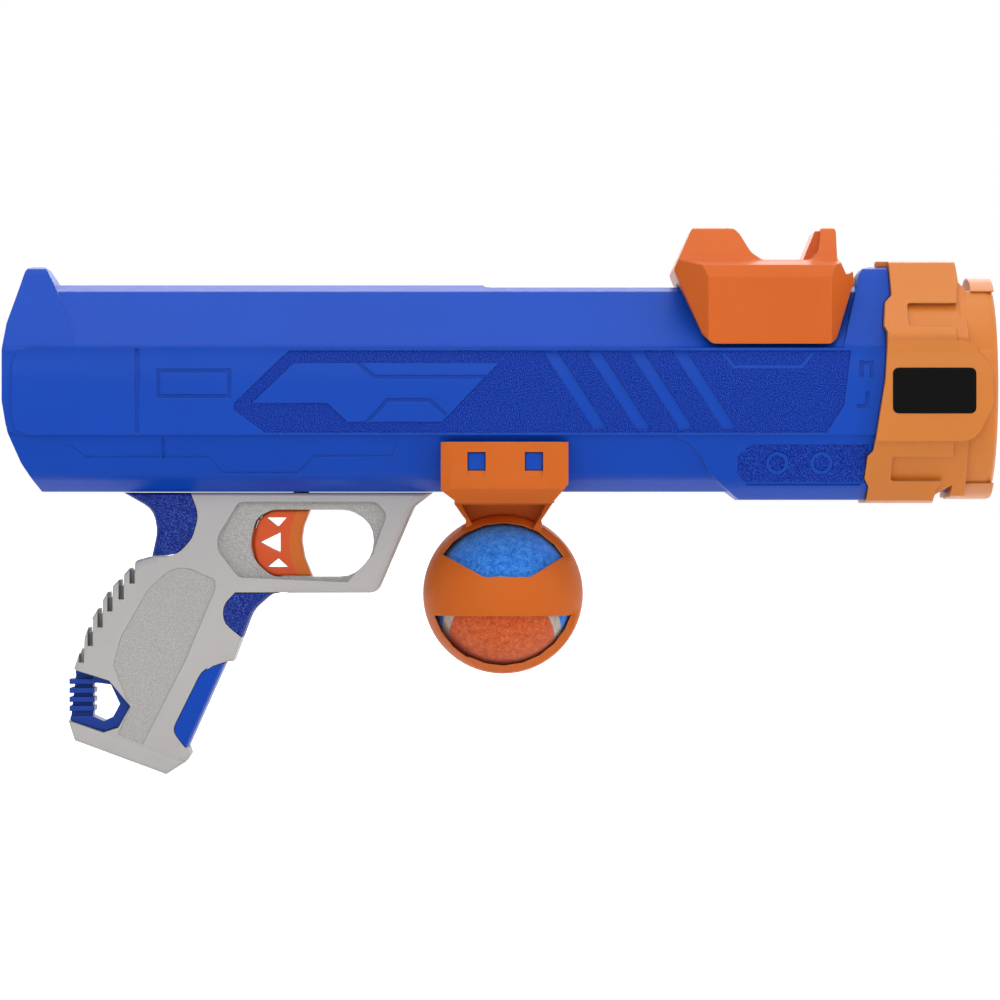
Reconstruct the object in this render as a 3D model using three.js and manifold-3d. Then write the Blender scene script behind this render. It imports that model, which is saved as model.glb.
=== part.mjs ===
// A hand-cocked air launcher for a felt dog ball, with a spare ball in a clip under the body.
// Millimetres, +X to the muzzle, +Y to the launcher's left, +Z up, origin at the grip's centre.
import * as THREE from "three";
import { mergeVertices } from "three/addons/utils/BufferGeometryUtils.js";
import Module from "manifold-3d";

const wasm = await Module();
wasm.setup();

// Fits
const seatGap = 0.3; // between two pieces that touch
const slideGap = 0.5; // beside a piece that slides
const overrun = 6; // how far a cutting tool runs past what it cuts
const partingGap = 0.3; // between the two halves of a shell

// Ball and bore
const ballDiameter = 66;
const ballClearance = 0.5; // ball to bore, on the radius
const tubeWall = 2;

// Body shells
const axisHeight = 116.7; // barrel axis above the grip's centre
const rearReach = 74.4; // body's rear end behind the grip's centre
const muzzleReach = 370; // muzzle face ahead of the grip's centre
const capLength = 50;
const neckSetback = 21; // shells' front end behind the muzzle face, inside the cap
const bodyHalfWidth = 43.4;
const bodyHalfHeight = 47;
const shellWall = 2.3;
const barRoofGap = 2.9; // draw bar under the shells' roof
const blockRise = 7.8; // end blocks over the top of the body
const blockStand = 2; // end blocks outside the body's flank
const panelStand = 3; // side panels outside the body's flank
const panelTop = 17.2;
const panelDrop = 21.7;
const panelRearGap = 4.5; // panel's rear edge inside the body's rear end
const panelCorner = 8;
const rearEndLength = 32.7; // stretch that the rear end's outline takes
const frontBlockFoot = 19; // front block's length along the panel
const frontBlockTop = 9; // and along its top
const keelLength = 94; // deep stretch under the barrel, its sweep included
const keelDepth = 3.7; // under the rest of the body
const keelStand = 1.2; // outside the body's flank
const topRadius = 12;
const shoulderRadius = 5;
const bilgeRadius = 14;

// Relief on the side panels and the keel
const textureDepth = 0.5;
const slotDepth = 1.4;
const lineDepth = 0.8;
const lineWidth = 1.6;
const faintDepth = 0.35; // lines on the lower flank
const faintWidth = 0.8;
const slotCount = 4;
const ringRadius = 5;
const ringWall = 1.4;

// Ribs, bosses and screws
const ribThickness = 2.2;
const screwHeadRadius = 2.9;
const screwHeadHeight = 2.2;
const screwShankRadius = 1.4;
const screwLength = 16; // under the head
const screwSlotWidth = 0.9;
const screwSlotDepth = 1;
const screwBossRadius = 4.2;
const screwReach = 12.6; // beside the piece that a screw stands near
const screwSeat = 4.5; // seat of a head from the parting plane

// Air cylinder, piston and spring
const cylinderRadius = 31;
const cylinderWall = 2;
const cylinderLength = 204;
const bulkheadThickness = 4;
const portRadius = 12;
const rearCapThickness = 3.7;
const rearCapSpigot = 4.3;
const padThickness = 3.4;
const pistonLength = 22;
const pistonFace = 8;
const pistonSkirtWall = 4.5;
const pistonHubRadius = 8.5;
const sealWire = 1.4; // half the thickness of the piston's ring
const sealBite = 0.2; // left between ring and cylinder
const rodRadius = 5;
const collarRadius = 9;
const collarThickness = 4;
const forkPlay = 3; // fork to the cylinder's rear cap
const catchGrooveDepth = 1.8;
const catchGrooveWidth = 4;
const springRadius = 17; // to the middle of the wire
const springWire = 1.8; // half the wire's thickness
const springTurns = 12;
const cockingStroke = 110;

// Barrel, retainer and muzzle
const barrelLength = 87;
const flangeThickness = 4.4;
const retainerThickness = 3.3;
const retainerRadius = 42;
const retainerReach = 6; // petals, backwards
const petalWall = 1.5;
const petalBite = 2.1; // petal tips inside the ball's radius
const petalCount = 8;
const petalSlit = 1.6;
const lipThickness = 3.7;
const lipBore = 34.6;
const capHeight = 57.5; // top lug over the axis
const capDrop = 52.1;
const capHalfWidth = 50;
const capPanelStand = 2;
const capCoreInset = 2.4; // core under the lugs
const capRingRadius = 50.3;
const capRingLength = 16;
const capRingRound = 2.8;
const ringBevel = 1.1;
const earRise = 43; // ring's two raised ears begin over and under the axis
const earStand = 0.8; // and stand proud of it
const upperEarLength = 10.4;
const lowerEarLength = 22.5;
const earRadius = 1.7;
const capTabLength = 3.2; // small tab on the cap's top edge
const capTabHalfWidth = 5;

// Cocking slide and draw bar
const slideToCap = 13.1; // slide's front end to the cap's rear edge
const slideLength = 81.1;
const slideTop = 72.1;
const slideHeight = 53.1;
const slideHalfWidth = 46.2;
const slideWall = 2.6;
const slideBevel = 15.2; // rear corner bevels, along the body
const slideFrontBevel = 11.2;
const slideBevelWidth = 16; // and across it
const slideFlank = 30.1; // straight part of its flank
const slideStripRise = 5.2; // slanted strip over the flank
const slideStripWidth = 3;
const slideCrownHalfWidth = 22;
const slideShoulderShare = 0.72; // its sloping top's foot, of its half width
const slideFloorShare = 0.284; // its floor, down its height
const tongueLength = 30;
const tongueRearShare = 0.36; // of the slide's length
const tongueHalfWidth = 4.4;
const barHalfWidth = 6.5;
const barThickness = 5;
const forkThickness = 4;
const forkHalfWidth = 8.4;
const forkReach = 5.6; // below the axis

// Grip, guard and trigger
const gripLeft = 47.6; // grip outline's rear edge behind the origin
const gripWidth = 165;
const gripHeight = 127.4;
const gripHalfWidth = 15;
const gripBevel = 3.2;
const footStand = 0.8; // foot plate outside the grip's flank
const footBevel = 1.2;
const palmDepth = 0.5;
const guardRecess = 3.4;
const toothWidth = 2.4;
const toothLength = 12;
const toothDepth = 10; // of the slots, into each flank
const toothWeb = 6.2; // left in them, over their foot
const handleCavityHalfWidth = 11;
const triggerLeft = 35.5;
const triggerWidth = 26.9;
const triggerHeight = 30.1;
const triggerHalfWidth = 8.6;
const triggerTravel = 9;
const triggerTail = 5.5; // hidden length behind the opening
const triggerDropShare = 0.061; // top of the trigger's opening, of the grip's height
const triggerArmHalfWidth = 3;
const triggerArmLength = 7;
const crossBarRadius = 2;
const triggerSpringLength = 22;
const triggerSpringRadius = 4.2;
const triggerSpringWire = 0.65;
const triggerSpringTurns = 5;
const triggerBevel = 1.2;

// Catch
const catchX = 42; // blade's middle, where the rod's groove stops
const catchBlade = 3.2;
const catchBladeHalfWidth = 4.4;
const catchColumn = 8;
const catchHalfWidth = 6;
const catchNeck = 6;
const catchRampTop = 25; // ramp's high end under the axis
const catchRampLength = 20.4;
const catchFoot = 39.3; // catch's underside under the axis
const catchRatio = 0.5;
const catchLedge = 12;
const catchLedgeDrop = 19;
const catchLedgeThickness = 3;
const catchSpringRadius = 3.4;
const catchSpringWire = 0.55;
const catchSpringTurns = 5;
const guideThickness = 2.2;
const guideTop = 14;

// Ball clip
const clipLeft = 121.5;
const clipWidth = 56.9;
const clipTop = 24.8; // saddle's top edge under the axis
const clipHeight = 27.3;
const clipWall = 2.6;
const clipFloor = 4.8;
const clipChamfer = 8.6;
const clipChamferDrop = 6.5;
const clipBend = 2;
const clipEndBevel = 4.5; // upright bevels at the saddle's ends, along the body
const clipEndInset = 1.6; // and across it
const clipRampLength = 3.8; // ramps under the windows
const clipRampDepth = 1.2;
const lugStand = 2;
const lugGap = 0.35;
const ballDrop = 93.3; // ball's centre under the axis
const ballOffset = -0.7; // along the body from the clip's middle
const cageWall = 3.1;
const cageCollar = 8; // straight part on the open side
const cageWindowRadius = 33.1;
const windowShift = 0.9; // windows' middle ahead of the ball's
const neckHalfWidth = 12;
const neckPocket = 8;

// Wrist loop
const loopHalfWidth = 9;
const loopBarHalfWidth = 5.5;

// Finish of the curves
const cornerSteps = 2;
const gripSteps = 3;
const bevelSteps = 2;
const roundSides = 20;
const boreSides = 36;
const smallSides = 8;
const ballSides = 24;
const coilSteps = 8; // in one turn of a spring
const wireSides = 5;
const ringSides = 6;
const cornerReachShare = 0.48; // the most of an edge that one corner's curve takes
const weldDistance = 1e-4;

// Places worked out from the sizes above
const boreRadius = ballDiameter / 2 + ballClearance;
const barrelRadius = boreRadius + tubeWall;
const rearX = -rearReach;
const capRearX = muzzleReach - capLength;
const neckFrontX = muzzleReach - neckSetback;
const barrelFrontX = muzzleReach - lipThickness - retainerThickness - 2 * seatGap;
const barrelRearX = barrelFrontX - barrelLength;
const cylinderFrontX = barrelRearX - seatGap;
const cylinderRearX = cylinderFrontX - cylinderLength;
const cylinderBore = cylinderRadius - cylinderWall;
const padFrontX = cylinderFrontX - bulkheadThickness - seatGap;
const pistonFrontX = padFrontX - padThickness - seatGap;
const pistonRearX = pistonFrontX - pistonLength;
const pistonRadius = cylinderBore - slideGap;
const rodFrontX = pistonFrontX - pistonFace - seatGap;
const grooveX = catchX + cockingStroke;
const collarFrontX = cylinderRearX - rearCapThickness - forkThickness - forkPlay;
const forkRearX = collarFrontX + seatGap;
const barTopZ = bodyHalfHeight - shellWall - barRoofGap;
const barBottomZ = barTopZ - barThickness;
const slideRear = capRearX - slideToCap - slideLength;
const slideBottom = slideTop - slideHeight;
const tongueRearX = slideRear + tongueRearShare * slideLength;
const barFrontX = tongueRearX + tongueLength;
const gripTop = -bodyHalfHeight - seatGap;
const triggerTop = gripTop - triggerDropShare * gripHeight;
const clipX = clipLeft + clipWidth / 2;
const clipHalfWidth = bodyHalfWidth + slideGap + clipWall;
const ballX = clipX + ballOffset;
const cageRadius = ballDiameter / 2 + seatGap + cageWall;

// Colours
const blue = [0x1b4bbd, 0.38];
const darkBlue = [0x1a3f9f, 0.6];
const orange = [0xdb6a2c, 0.4];
const amber = [0xd98738, 0.42];
const red = [0xe2592a, 0.42];
const grey = [0xb4b2b0, 0.5];
const black = [0x202022, 0.7];
const steel = [0xb8babd, 0.3, 1];
const white = [0xd8d8d4, 0.45];
const felt = [0x2f6fd6, 0.95];

// Corners from shares of a box: u from its left edge, v down from its top, radius of its height.
function inBox(shares, left, top, width, height) {
  return shares.map(([u, v, round = 0]) => [left + u * width, top - v * height, round * height]);
}

// A closed outline, with the third value of a corner as its radius.
function outline(corners) {
  const shape = new THREE.Shape();
  corners.forEach(([x, y, radius = 0], i) => {
    const corner = new THREE.Vector2(x, y);
    const last = corners.at(i - 1);
    const next = corners[(i + 1) % corners.length];
    const back = new THREE.Vector2(last[0] - x, last[1] - y);
    const on = new THREE.Vector2(next[0] - x, next[1] - y);
    const half = Math.abs(back.angleTo(on)) / 2;
    const reach = Math.min(radius / Math.tan(half), cornerReachShare * Math.min(back.length(), on.length()));
    const start = corner.clone().addScaledVector(back.normalize(), reach);
    const end = corner.clone().addScaledVector(on.normalize(), reach);
    if (i === 0) shape.moveTo(start.x, start.y);
    else shape.lineTo(start.x, start.y);
    if (radius > 0) shape.quadraticCurveTo(x, y, end.x, end.y);
  });
  return shape;
}

// The corners moved outwards by an amount, or inwards where it is negative.
function grown(corners, amount) {
  const flat = corners.map(([x, y]) => new THREE.Vector2(x, y));
  const turn = Math.sign(THREE.ShapeUtils.area(flat));
  return corners.map(([x, y, radius = 0], i) => {
    const last = flat.at(i - 1);
    const next = flat[(i + 1) % flat.length];
    const a = new THREE.Vector2(y - last.y, last.x - x).normalize();
    const b = new THREE.Vector2(next.y - y, x - next.x).normalize();
    const scale = (turn * amount) / (1 + a.dot(b));
    return [x + (a.x + b.x) * scale, y + (a.y + b.y) * scale, radius && Math.max(radius + amount, 0)];
  });
}

// A strip of a given width along open points.
function strip(points, width) {
  const sides = [width / 2, -width / 2].map((offset) =>
    points.map(([x, y], i) => {
      const before = points[Math.max(i - 1, 0)];
      const after = points[Math.min(i + 1, points.length - 1)];
      const a = new THREE.Vector2(y - before[1], before[0] - x).normalize();
      const b = new THREE.Vector2(after[1] - y, x - after[0]).normalize();
      const normal = a.lengthSq() === 0 ? b : b.lengthSq() === 0 ? a : a.clone().add(b);
      const reach = offset / (a.lengthSq() === 0 || b.lengthSq() === 0 ? 1 : 1 + a.dot(b));
      return [x + normal.x * reach, y + normal.y * reach];
    }),
  );
  return outline([...sides[0], ...sides[1].reverse()]);
}

// Both sides of a section given from its top to its bottom.
function mirrored(corners) {
  const other = corners.map(([y, z, radius]) => [-y, z, radius]).reverse();
  return [...corners, ...other];
}

function circle(radius, x = 0, y = 0) {
  const shape = new THREE.Shape();
  shape.absarc(x, y, radius, 0, 2 * Math.PI);
  return shape;
}

function box(left, bottom, right, top) {
  return outline([[left, bottom], [right, bottom], [right, top], [left, top]]);
}

// A geometry as a solid that can be cut and joined.
function solidOf(geometry) {
  const bare = new THREE.BufferGeometry();
  bare.setAttribute("position", geometry.getAttribute("position"));
  bare.setIndex(geometry.index);
  const merged = mergeVertices(bare, weldDistance);
  return new wasm.Manifold(
    new wasm.Mesh({
      numProp: 3,
      vertProperties: merged.getAttribute("position").array,
      triVerts: new Uint32Array(merged.index.array),
    }),
  );
}

function extruded(shape, from, to, basis, steps, bevel = 0) {
  const geometry = new THREE.ExtrudeGeometry(shape, {
    depth: to - from - 2 * bevel,
    curveSegments: steps,
    bevelEnabled: bevel > 0,
    bevelThickness: bevel,
    bevelSize: bevel,
    bevelOffset: -bevel,
    bevelSegments: bevelSteps,
  });
  geometry.translate(0, 0, from + bevel);
  geometry.applyMatrix4(basis);
  return solidOf(geometry);
}

const axisX = new THREE.Vector3(1, 0, 0);
const axisY = new THREE.Vector3(0, 1, 0);
const axisZ = new THREE.Vector3(0, 0, 1);
const toX = new THREE.Matrix4().makeBasis(axisY, axisZ, axisX);
const toY = new THREE.Matrix4().makeBasis(axisX, axisZ, axisY.clone().negate());
const toZ = new THREE.Matrix4();

// Outlines in Y and Z, in X and Z, and in X and Y, pulled along the third axis.
const alongX = (shape, from, to, steps = cornerSteps) => extruded(shape, from, to, toX, steps);
const alongY = (shape, from, to, steps = cornerSteps, bevel = 0) =>
  extruded(shape, -to, -from, toY, steps, bevel);
const alongZ = (shape, from, to, steps = cornerSteps) => extruded(shape, from, to, toZ, steps);
const throughY = (shape, half, steps = cornerSteps) => alongY(shape, -half, half, steps);

// A profile of [along, radius] corners turned about the barrel's axis.
function turned(profile, sides = roundSides) {
  const points = profile.map(([x, radius]) => new THREE.Vector2(radius, x));
  if (THREE.ShapeUtils.area(points) < 0) points.reverse();
  const geometry = new THREE.LatheGeometry([...points, points[0]], sides);
  geometry.rotateZ(-Math.PI / 2);
  return solidOf(geometry);
}

const rodAlongX = (radius, from, to, sides = roundSides) =>
  alongX(circle(radius), from, to, sides / 2);

function joined(...solids) {
  return solids.flat().reduce((sum, next) => sum.add(next));
}

function cutBy(solid, ...tools) {
  return tools.flat().reduce((rest, tool) => rest.subtract(tool), solid);
}

// A tool that cuts one outline into both flanks to a given depth.
function flankTool(shape, face, depth, steps = cornerSteps) {
  return [
    alongY(shape, face - depth, face + overrun, steps),
    alongY(shape, -face - overrun, depth - face, steps),
  ];
}

// A coil as one tube, its wire's section swept along a helix, with its turns closed at both ends.
function coil(radius, wire, length, turns, place) {
  const sides = wireSides;
  const count = turns * coilSteps;
  const positions = [];
  const middles = [];
  for (let i = 0; i <= count; i++) {
    const angle = (2 * Math.PI * i) / coilSteps;
    const along = wire + ((length - 2 * wire) * i) / count;
    middles.push(new THREE.Vector3(along, radius * Math.cos(angle), radius * Math.sin(angle)));
    for (let j = 0; j < sides; j++) {
      const turn = (2 * Math.PI * j) / sides;
      const out = radius + wire * Math.cos(turn);
      const x = along + wire * Math.sin(turn);
      positions.push(x, out * Math.cos(angle), out * Math.sin(angle));
    }
  }
  const index = [];
  for (let i = 0; i < count; i++) {
    for (let j = 0; j < sides; j++) {
      const a = i * sides + j;
      const b = i * sides + ((j + 1) % sides);
      index.push(a, b, a + sides, b, b + sides, a + sides);
    }
  }
  for (let j = 1; j < sides - 1; j++) {
    index.push(0, j + 1, j);
    index.push(count * sides, count * sides + j, count * sides + j + 1);
  }
  const geometry = new THREE.BufferGeometry();
  geometry.setAttribute("position", new THREE.Float32BufferAttribute(positions, 3));
  geometry.setIndex(index);
  geometry.applyMatrix4(place);
  let least = Infinity;
  for (let i = 0; i + coilSteps <= count; i++) {
    const next = middles[i + coilSteps].distanceTo(middles[i]);
    least = Math.min(least, next - 2 * wire);
  }
  console.log("least gap in a coil of " + turns + " turns: " + least.toFixed(2));
  const solid = solidOf(geometry);
  return solid.volume() < 0 ? solidOf(flipped(geometry)) : solid;
}

function flipped(geometry) {
  const index = geometry.index.array;
  for (let i = 0; i < index.length; i += 3) {
    const held = index[i];
    index[i] = index[i + 1];
    index[i + 1] = held;
  }
  return geometry;
}

// Sections of the body, from the top down, as shares of its half width and half height.
const bodySectionShares = [[0.3, 1], [1, 0.37], [1, -0.47], [0.72, -0.86], [0.36, -1]];
const bodySectionRadii = [topRadius, shoulderRadius, shoulderRadius, bilgeRadius, shoulderRadius];

function bodyCorners() {
  return mirrored(
    bodySectionShares.map(([u, v], i) => [u * bodyHalfWidth, v * bodyHalfHeight, bodySectionRadii[i]]),
  );
}

const blockCrownShare = 0.3;
const keelSectionShares = [[0.76, 0.86], [0.44, 1]];

function blockCorners() {
  const half = bodyHalfWidth + blockStand;
  const top = bodyHalfHeight + blockRise;
  return mirrored([
    [blockCrownShare * half, top, topRadius], [half, panelTop, shoulderRadius], [half, -panelDrop],
  ]);
}

function keelCorners() {
  const half = bodyHalfWidth + keelStand;
  const foot = -bodyHalfHeight - keelDepth;
  return mirrored([
    [half, -panelDrop],
    ...keelSectionShares.map(([u, v], i) => [u * half, v * foot, [bilgeRadius, shoulderRadius][i]]),
  ]);
}

// The rear end's outline, from its top down.
const rearEndShares = [
  [0.505, 0, 0.02], [0.25, 0, 0.029], [0.19, 0.08], [0.04, 0.258], [0, 0.378, 0.088],
  [0, 0.6, 0.088],
  [0.07, 0.735, 0.088], [0.235, 0.872, 0.088], [0.471, 1],
];
const rearBlockFrontShares = [[1, 0.37], [0.93, 0.3], [0.82, 0.2], [0.64, 0.075]];
const blockTop = bodyHalfHeight + blockRise;

function rearEnd(shares) {
  return inBox(shares, rearX, blockTop, rearEndLength, blockTop + bodyHalfHeight);
}

// The muzzle cap's rear edge, from its top down, which the shells' raised parts meet.
const capRearShares = [
  [0.068, -0.1], [0.073, 0.149], [0.01, 0.179], [-0.014, 0.278], [0.014, 0.305], [0.01, 0.34],
  [-0.012, 0.5], [-0.094, 0.735], [-0.112, 0.787], [-0.16, 0.808], [-0.178, 0.9], [-0.138, 0.932],
  [-0.168, 1.1],
];

function capBox(shares) {
  return inBox(shares, capRearX, capHeight, capLength, capHeight + capDrop);
}

function behindCap() {
  const edge = capBox(capRearShares).map(([x, z]) => [x - seatGap, z]);
  const far = rearX - overrun;
  return throughY(outline([[far, edge[0][1]], ...edge, [far, edge.at(-1)[1]]]), capHalfWidth + overrun);
}

function bodySolid() {
  const whole = slideHalfWidth + overrun;
  const ends = rearEnd(rearEndShares);
  const foot = ends.at(-1)[1];
  const side = outline([...ends, [neckFrontX, foot], [neckFrontX, blockTop]]);
  const tube = alongX(outline(bodyCorners()), rearX, neckFrontX).intersect(throughY(side, whole));
  const blockSide = outline([
    ...ends.slice(0, -2), [rearX + panelCorner, -panelDrop], [muzzleReach, -panelDrop],
    [muzzleReach, blockTop], [capRearX - frontBlockTop, blockTop, shoulderRadius],
    [capRearX - frontBlockFoot, panelTop], ...rearEnd(rearBlockFrontShares),
  ]);
  const blocks = alongX(outline(blockCorners()), rearX, capRearX + capLength / 4).intersect(
    throughY(blockSide, whole));
  const keelSide = inBox(keelSideShares, capRearX - keelLength, -panelDrop, keelLength,
    bodyHalfHeight + keelDepth - panelDrop);
  const keel = alongX(outline(keelCorners()), capRearX - keelLength, capRearX).intersect(
    throughY(outline(keelSide), whole));
  const raised = joined(blocks, keel, sidePanels()).intersect(behindCap());
  return cutBy(joined(tube, raised, clipBlock()), reliefTools());
}

const keelSideShares = [
  [0, 0], [0.077, 0.142], [0.129, 0.331], [0.172, 0.598], [0.234, 0.786], [0.315, 1], [1, 1], [1, 0],
];

function sidePanels() {
  const half = bodyHalfWidth + panelStand;
  const left = rearX + panelRearGap;
  return throughY(
    outline([
      [left, panelTop, panelCorner], [left, -panelDrop, panelCorner], [muzzleReach, -panelDrop],
      [muzzleReach, panelTop],
    ]),
    half,
  );
}

// Outlines on the side panels, as shares of their length and height.
const fieldShares = [
  [0.317, 0.03], [0.254, 0.64], [0.254, 0.715], [0.29, 0.975], [0.932, 0.975], [0.952, 0.664],
  [0.96, 0.03],
];
const islandShares = [
  [0.323, 0.174], [0.275, 0.634], [0.361, 0.634], [0.384, 0.85], [0.492, 0.85], [0.557, 0.174],
];
const panelSlotShares = [[0.607, 0.04], [0.625, 0.04], [0.682, 0.93], [0.666, 0.93]];
const slotPitchShare = 0.0493;
const plainSlotShares = [[0.141, 0.01], [0.146, 0.01], [0.146, 0.98], [0.141, 0.98]];
const panelLineShares = [
  [[0.397, 0.175], [0.415, 0.334], [0.541, 0.334]],
  [[0.406, 0.857], [0.43, 0.6], [0.478, 0.6], [0.497, 0.769]],
  [[0.814, 0.064], [0.826, 0.216], [0.904, 0.216], [0.917, 0.057]],
  [[0.972, 0.334], [0.972, 0.17], [0.984, 0.17], [0.984, 0.334]],
  [[0.967, 0.672], [0.979, 0.672], [0.979, 0.505]],
];

// Outlines on the keel, as shares of its box, and lines on the body's lower flank, of the body's.
const keelFieldShares = [
  [0.36, 0.144], [0.926, 0.144], [0.888, 0.771], [0.346, 0.771], [0.299, 0.583], [0.299, 0.332],
];
const ringPlaceShares = [[0.488, 0.431], [0.698, 0.431]];
const lowerLineShares = [
  [[0.075, 0.146], [0.094, 0.379], [0.178, 0.379]],
  [[0.186, 0.379], [0.233, 0.379], [0.248, 0.656], [0.333, 0.656], [0.353, 0.36], [0.441, 0.36],
    [0.447, 0.146]],
];
const lowerSlotShares = [[0.182, 0.04], [0.182, 0.4]];
const plateShares = [[0.168, 0.262], [0.249, 0.262], [0.249, 0.555], [0.168, 0.555]];

// A tool that follows a section's own surface to a given depth, inside an outline seen from the side.
function skinTool(shape, corners, depth) {
  const core = alongX(outline(grown(corners, -depth)), rearX, muzzleReach);
  return cutBy(throughY(shape, slideHalfWidth + overrun), core);
}

function keelRelief() {
  const drop = bodyHalfHeight + keelDepth - panelDrop;
  const onKeel = (shares) => inBox(shares, capRearX - keelLength, -panelDrop, keelLength, drop);
  const rings = onKeel(ringPlaceShares).map(([x, z]) => {
    const [outer, inner] = [ringRadius, ringRadius - ringWall].map((radius) =>
      throughY(circle(radius, x, z), slideHalfWidth + overrun, smallSides));
    return outer.subtract(inner);
  });
  return cutBy(skinTool(outline(onKeel(keelFieldShares)), keelCorners(), textureDepth), rings);
}

function lowerLines() {
  const drop = bodyHalfHeight - panelDrop;
  const line = (shares, width, depth) => skinTool(
    strip(inBox(shares, rearX, -panelDrop, capRearX - rearX, drop), width), bodyCorners(), depth);
  return [
    ...lowerLineShares.map((shares) => line(shares, faintWidth, faintDepth)),
    line(lowerSlotShares, lineWidth, lineDepth),
  ];
}

function reliefTools() {
  const face = bodyHalfWidth + panelStand;
  const left = rearX + panelRearGap;
  const onPanel = (shares) => inBox(shares, left, panelTop, capRearX - left, panelTop + panelDrop);
  const pitch = slotPitchShare * (capRearX - left);
  const island = throughY(outline(onPanel(islandShares)), face + overrun);
  const field = flankTool(outline(onPanel(fieldShares)), face, textureDepth);
  const slots = Array.from({ length: slotCount }, (_, i) =>
    flankTool(outline(onPanel(panelSlotShares).map(([x, z]) => [x + i * pitch, z])), face, slotDepth));
  const lines = panelLineShares.map((shares) =>
    flankTool(strip(onPanel(shares), lineWidth), face, lineDepth));
  const plain = flankTool(outline(onPanel(plainSlotShares)), face, lineDepth);
  const plate = onPanel(plateShares);
  const frame = throughY(outline(grown(plate, -lineWidth / 2)), face + overrun);
  const border = flankTool(outline(grown(plate, lineWidth / 2)), face, lineDepth);
  return [
    ...field.map((tool) => tool.subtract(island)), ...border.map((tool) => tool.subtract(frame)),
    ...slots.flat(), ...lines.flat(), ...plain, keelRelief(), ...lowerLines(),
  ];
}

// The plain block under the body that the clip's saddle fits over, with its four lugs.
const clipWindowShares = [[0.209, 0.351], [0.659, 0.802]];
const clipWindowTopShare = 0.166;
const clipWindowFootShare = 0.468;

function clipWindow([left, right], inset) {
  return box(
    clipLeft + left * clipWidth + inset,
    -clipTop - clipWindowFootShare * clipHeight + inset,
    clipLeft + right * clipWidth - inset,
    -clipTop - clipWindowTopShare * clipHeight - inset,
  );
}

function clipBlock() {
  const foot = -bodyHalfHeight;
  const sides = mirrored([[bodyHalfWidth, -clipTop], [bodyHalfWidth, foot, shoulderRadius]]);
  const block = alongX(outline(sides), clipLeft + clipWall, clipLeft + clipWidth - clipWall);
  const lugs = clipWindowShares.map((sides) =>
    throughY(clipWindow(sides, lugGap), bodyHalfWidth + lugStand));
  return joined(block, lugs);
}

function cavity() {
  const whole = slideHalfWidth + overrun;
  const ends = rearEnd(rearEndShares).map(([x, z]) => [x + shellWall, z]);
  const side = outline([...ends, [neckFrontX + overrun, ends.at(-1)[1]], [neckFrontX + overrun, blockTop]]);
  const inner = outline(grown(bodyCorners(), -shellWall));
  return alongX(inner, rearX, neckFrontX + overrun).intersect(throughY(side, whole));
}

// Where the ribs stand, as shares of the length of what they carry, and that piece's radius.
const cylinderRibShares = [0.1, 0.42, 0.9];
const barrelRibShares = [0.16, 0.6];

function ribs() {
  const plates = [
    ...cylinderRibShares.map((share) => [cylinderRearX + share * cylinderLength, cylinderRadius]),
    ...barrelRibShares.map((share) => [barrelRearX + share * barrelLength, barrelRadius]),
  ];
  const inner = outline(grown(bodyCorners(), -shellWall / 2));
  const way = box(-barHalfWidth - slideGap, 0, barHalfWidth + slideGap, bodyHalfHeight - shellWall);
  const flat = Math.cos(Math.PI / roundSides);
  return plates.map(([x, radius]) =>
    cutBy(
      alongX(inner, x, x + ribThickness),
      rodAlongX(radius / flat + seatGap, x - overrun, x + ribThickness + overrun),
      alongX(way, x - overrun, x + ribThickness + overrun),
    ),
  );
}

// Screw places in the shells: X and Z.
const rearScrewShares = [0.44, 0.55];
const rearScrewDropShare = 0.72;
const keelScrewShare = 0.3;

function shellScrewPlaces() {
  const low = -(bodyHalfHeight + cylinderRadius + seatGap) / 2;
  const high = bodyHalfHeight + blockRise - screwBossRadius - shellWall / 2;
  const [upper, lower] = rearScrewShares.map((share) => rearX + share * rearEndLength);
  return [
    [upper, high],
    [lower, -rearScrewDropShare * bodyHalfHeight],
    [catchX - catchLedge - catchColumn - screwReach, low],
    [clipLeft - screwReach, low],
    [clipLeft + clipWidth + screwReach, low],
    [capRearX - keelLength + keelScrewShare * keelLength, low],
    [capRearX - frontBlockTop / 2 - shellWall, high],
  ];
}

function bosses(places, radius, half) {
  return places.map(([x, z]) => throughY(circle(radius, x, z), half, smallSides / 2));
}

function screwHoles([x, z], half) {
  return [
    alongY(circle(screwHeadRadius + slideGap, x, z), screwSeat, half + overrun, smallSides / 2),
    alongY(circle(screwShankRadius + seatGap, x, z), screwSeat - screwLength - seatGap, half,
      smallSides / 2),
  ];
}

// A pan-head screw along -Y, its head's seat at a given distance from the parting plane.
function screw([x, z], seat = screwSeat) {
  const headTop = seat + seatGap + screwHeadHeight;
  const head = alongY(circle(screwHeadRadius, x, z), seat + seatGap, headTop, smallSides / 2);
  const shank = alongY(circle(screwShankRadius, x, z), seat - screwLength + seatGap,
    seat + screwHeadHeight / 2, smallSides / 2);
  const slot = box(x - screwHeadRadius, z - screwSlotWidth / 2, x + screwHeadRadius, z + screwSlotWidth / 2);
  return cutBy(joined(head, shank), alongY(slot, headTop - screwSlotDepth, headTop + overrun));
}

function half(solid, side) {
  const far = muzzleReach + rearReach;
  const shape = box(-far, -far, far, far);
  return solid.intersect(
    side > 0 ? alongY(shape, partingGap / 2, far) : alongY(shape, -far, -partingGap / 2),
  );
}

// Upright guides on the shells' floor, either side of the catch.
function catchGuides() {
  const inner = catchHalfWidth + seatGap;
  const left = catchX + catchBlade / 2 - catchColumn;
  return [1, -1].map((side) => {
    const near = side * inner;
    const far = side * (inner + guideThickness);
    return alongY(box(left, -bodyHalfHeight + shellWall / 2, left + catchColumn, -guideTop),
      Math.min(near, far), Math.max(near, far));
  });
}

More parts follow.
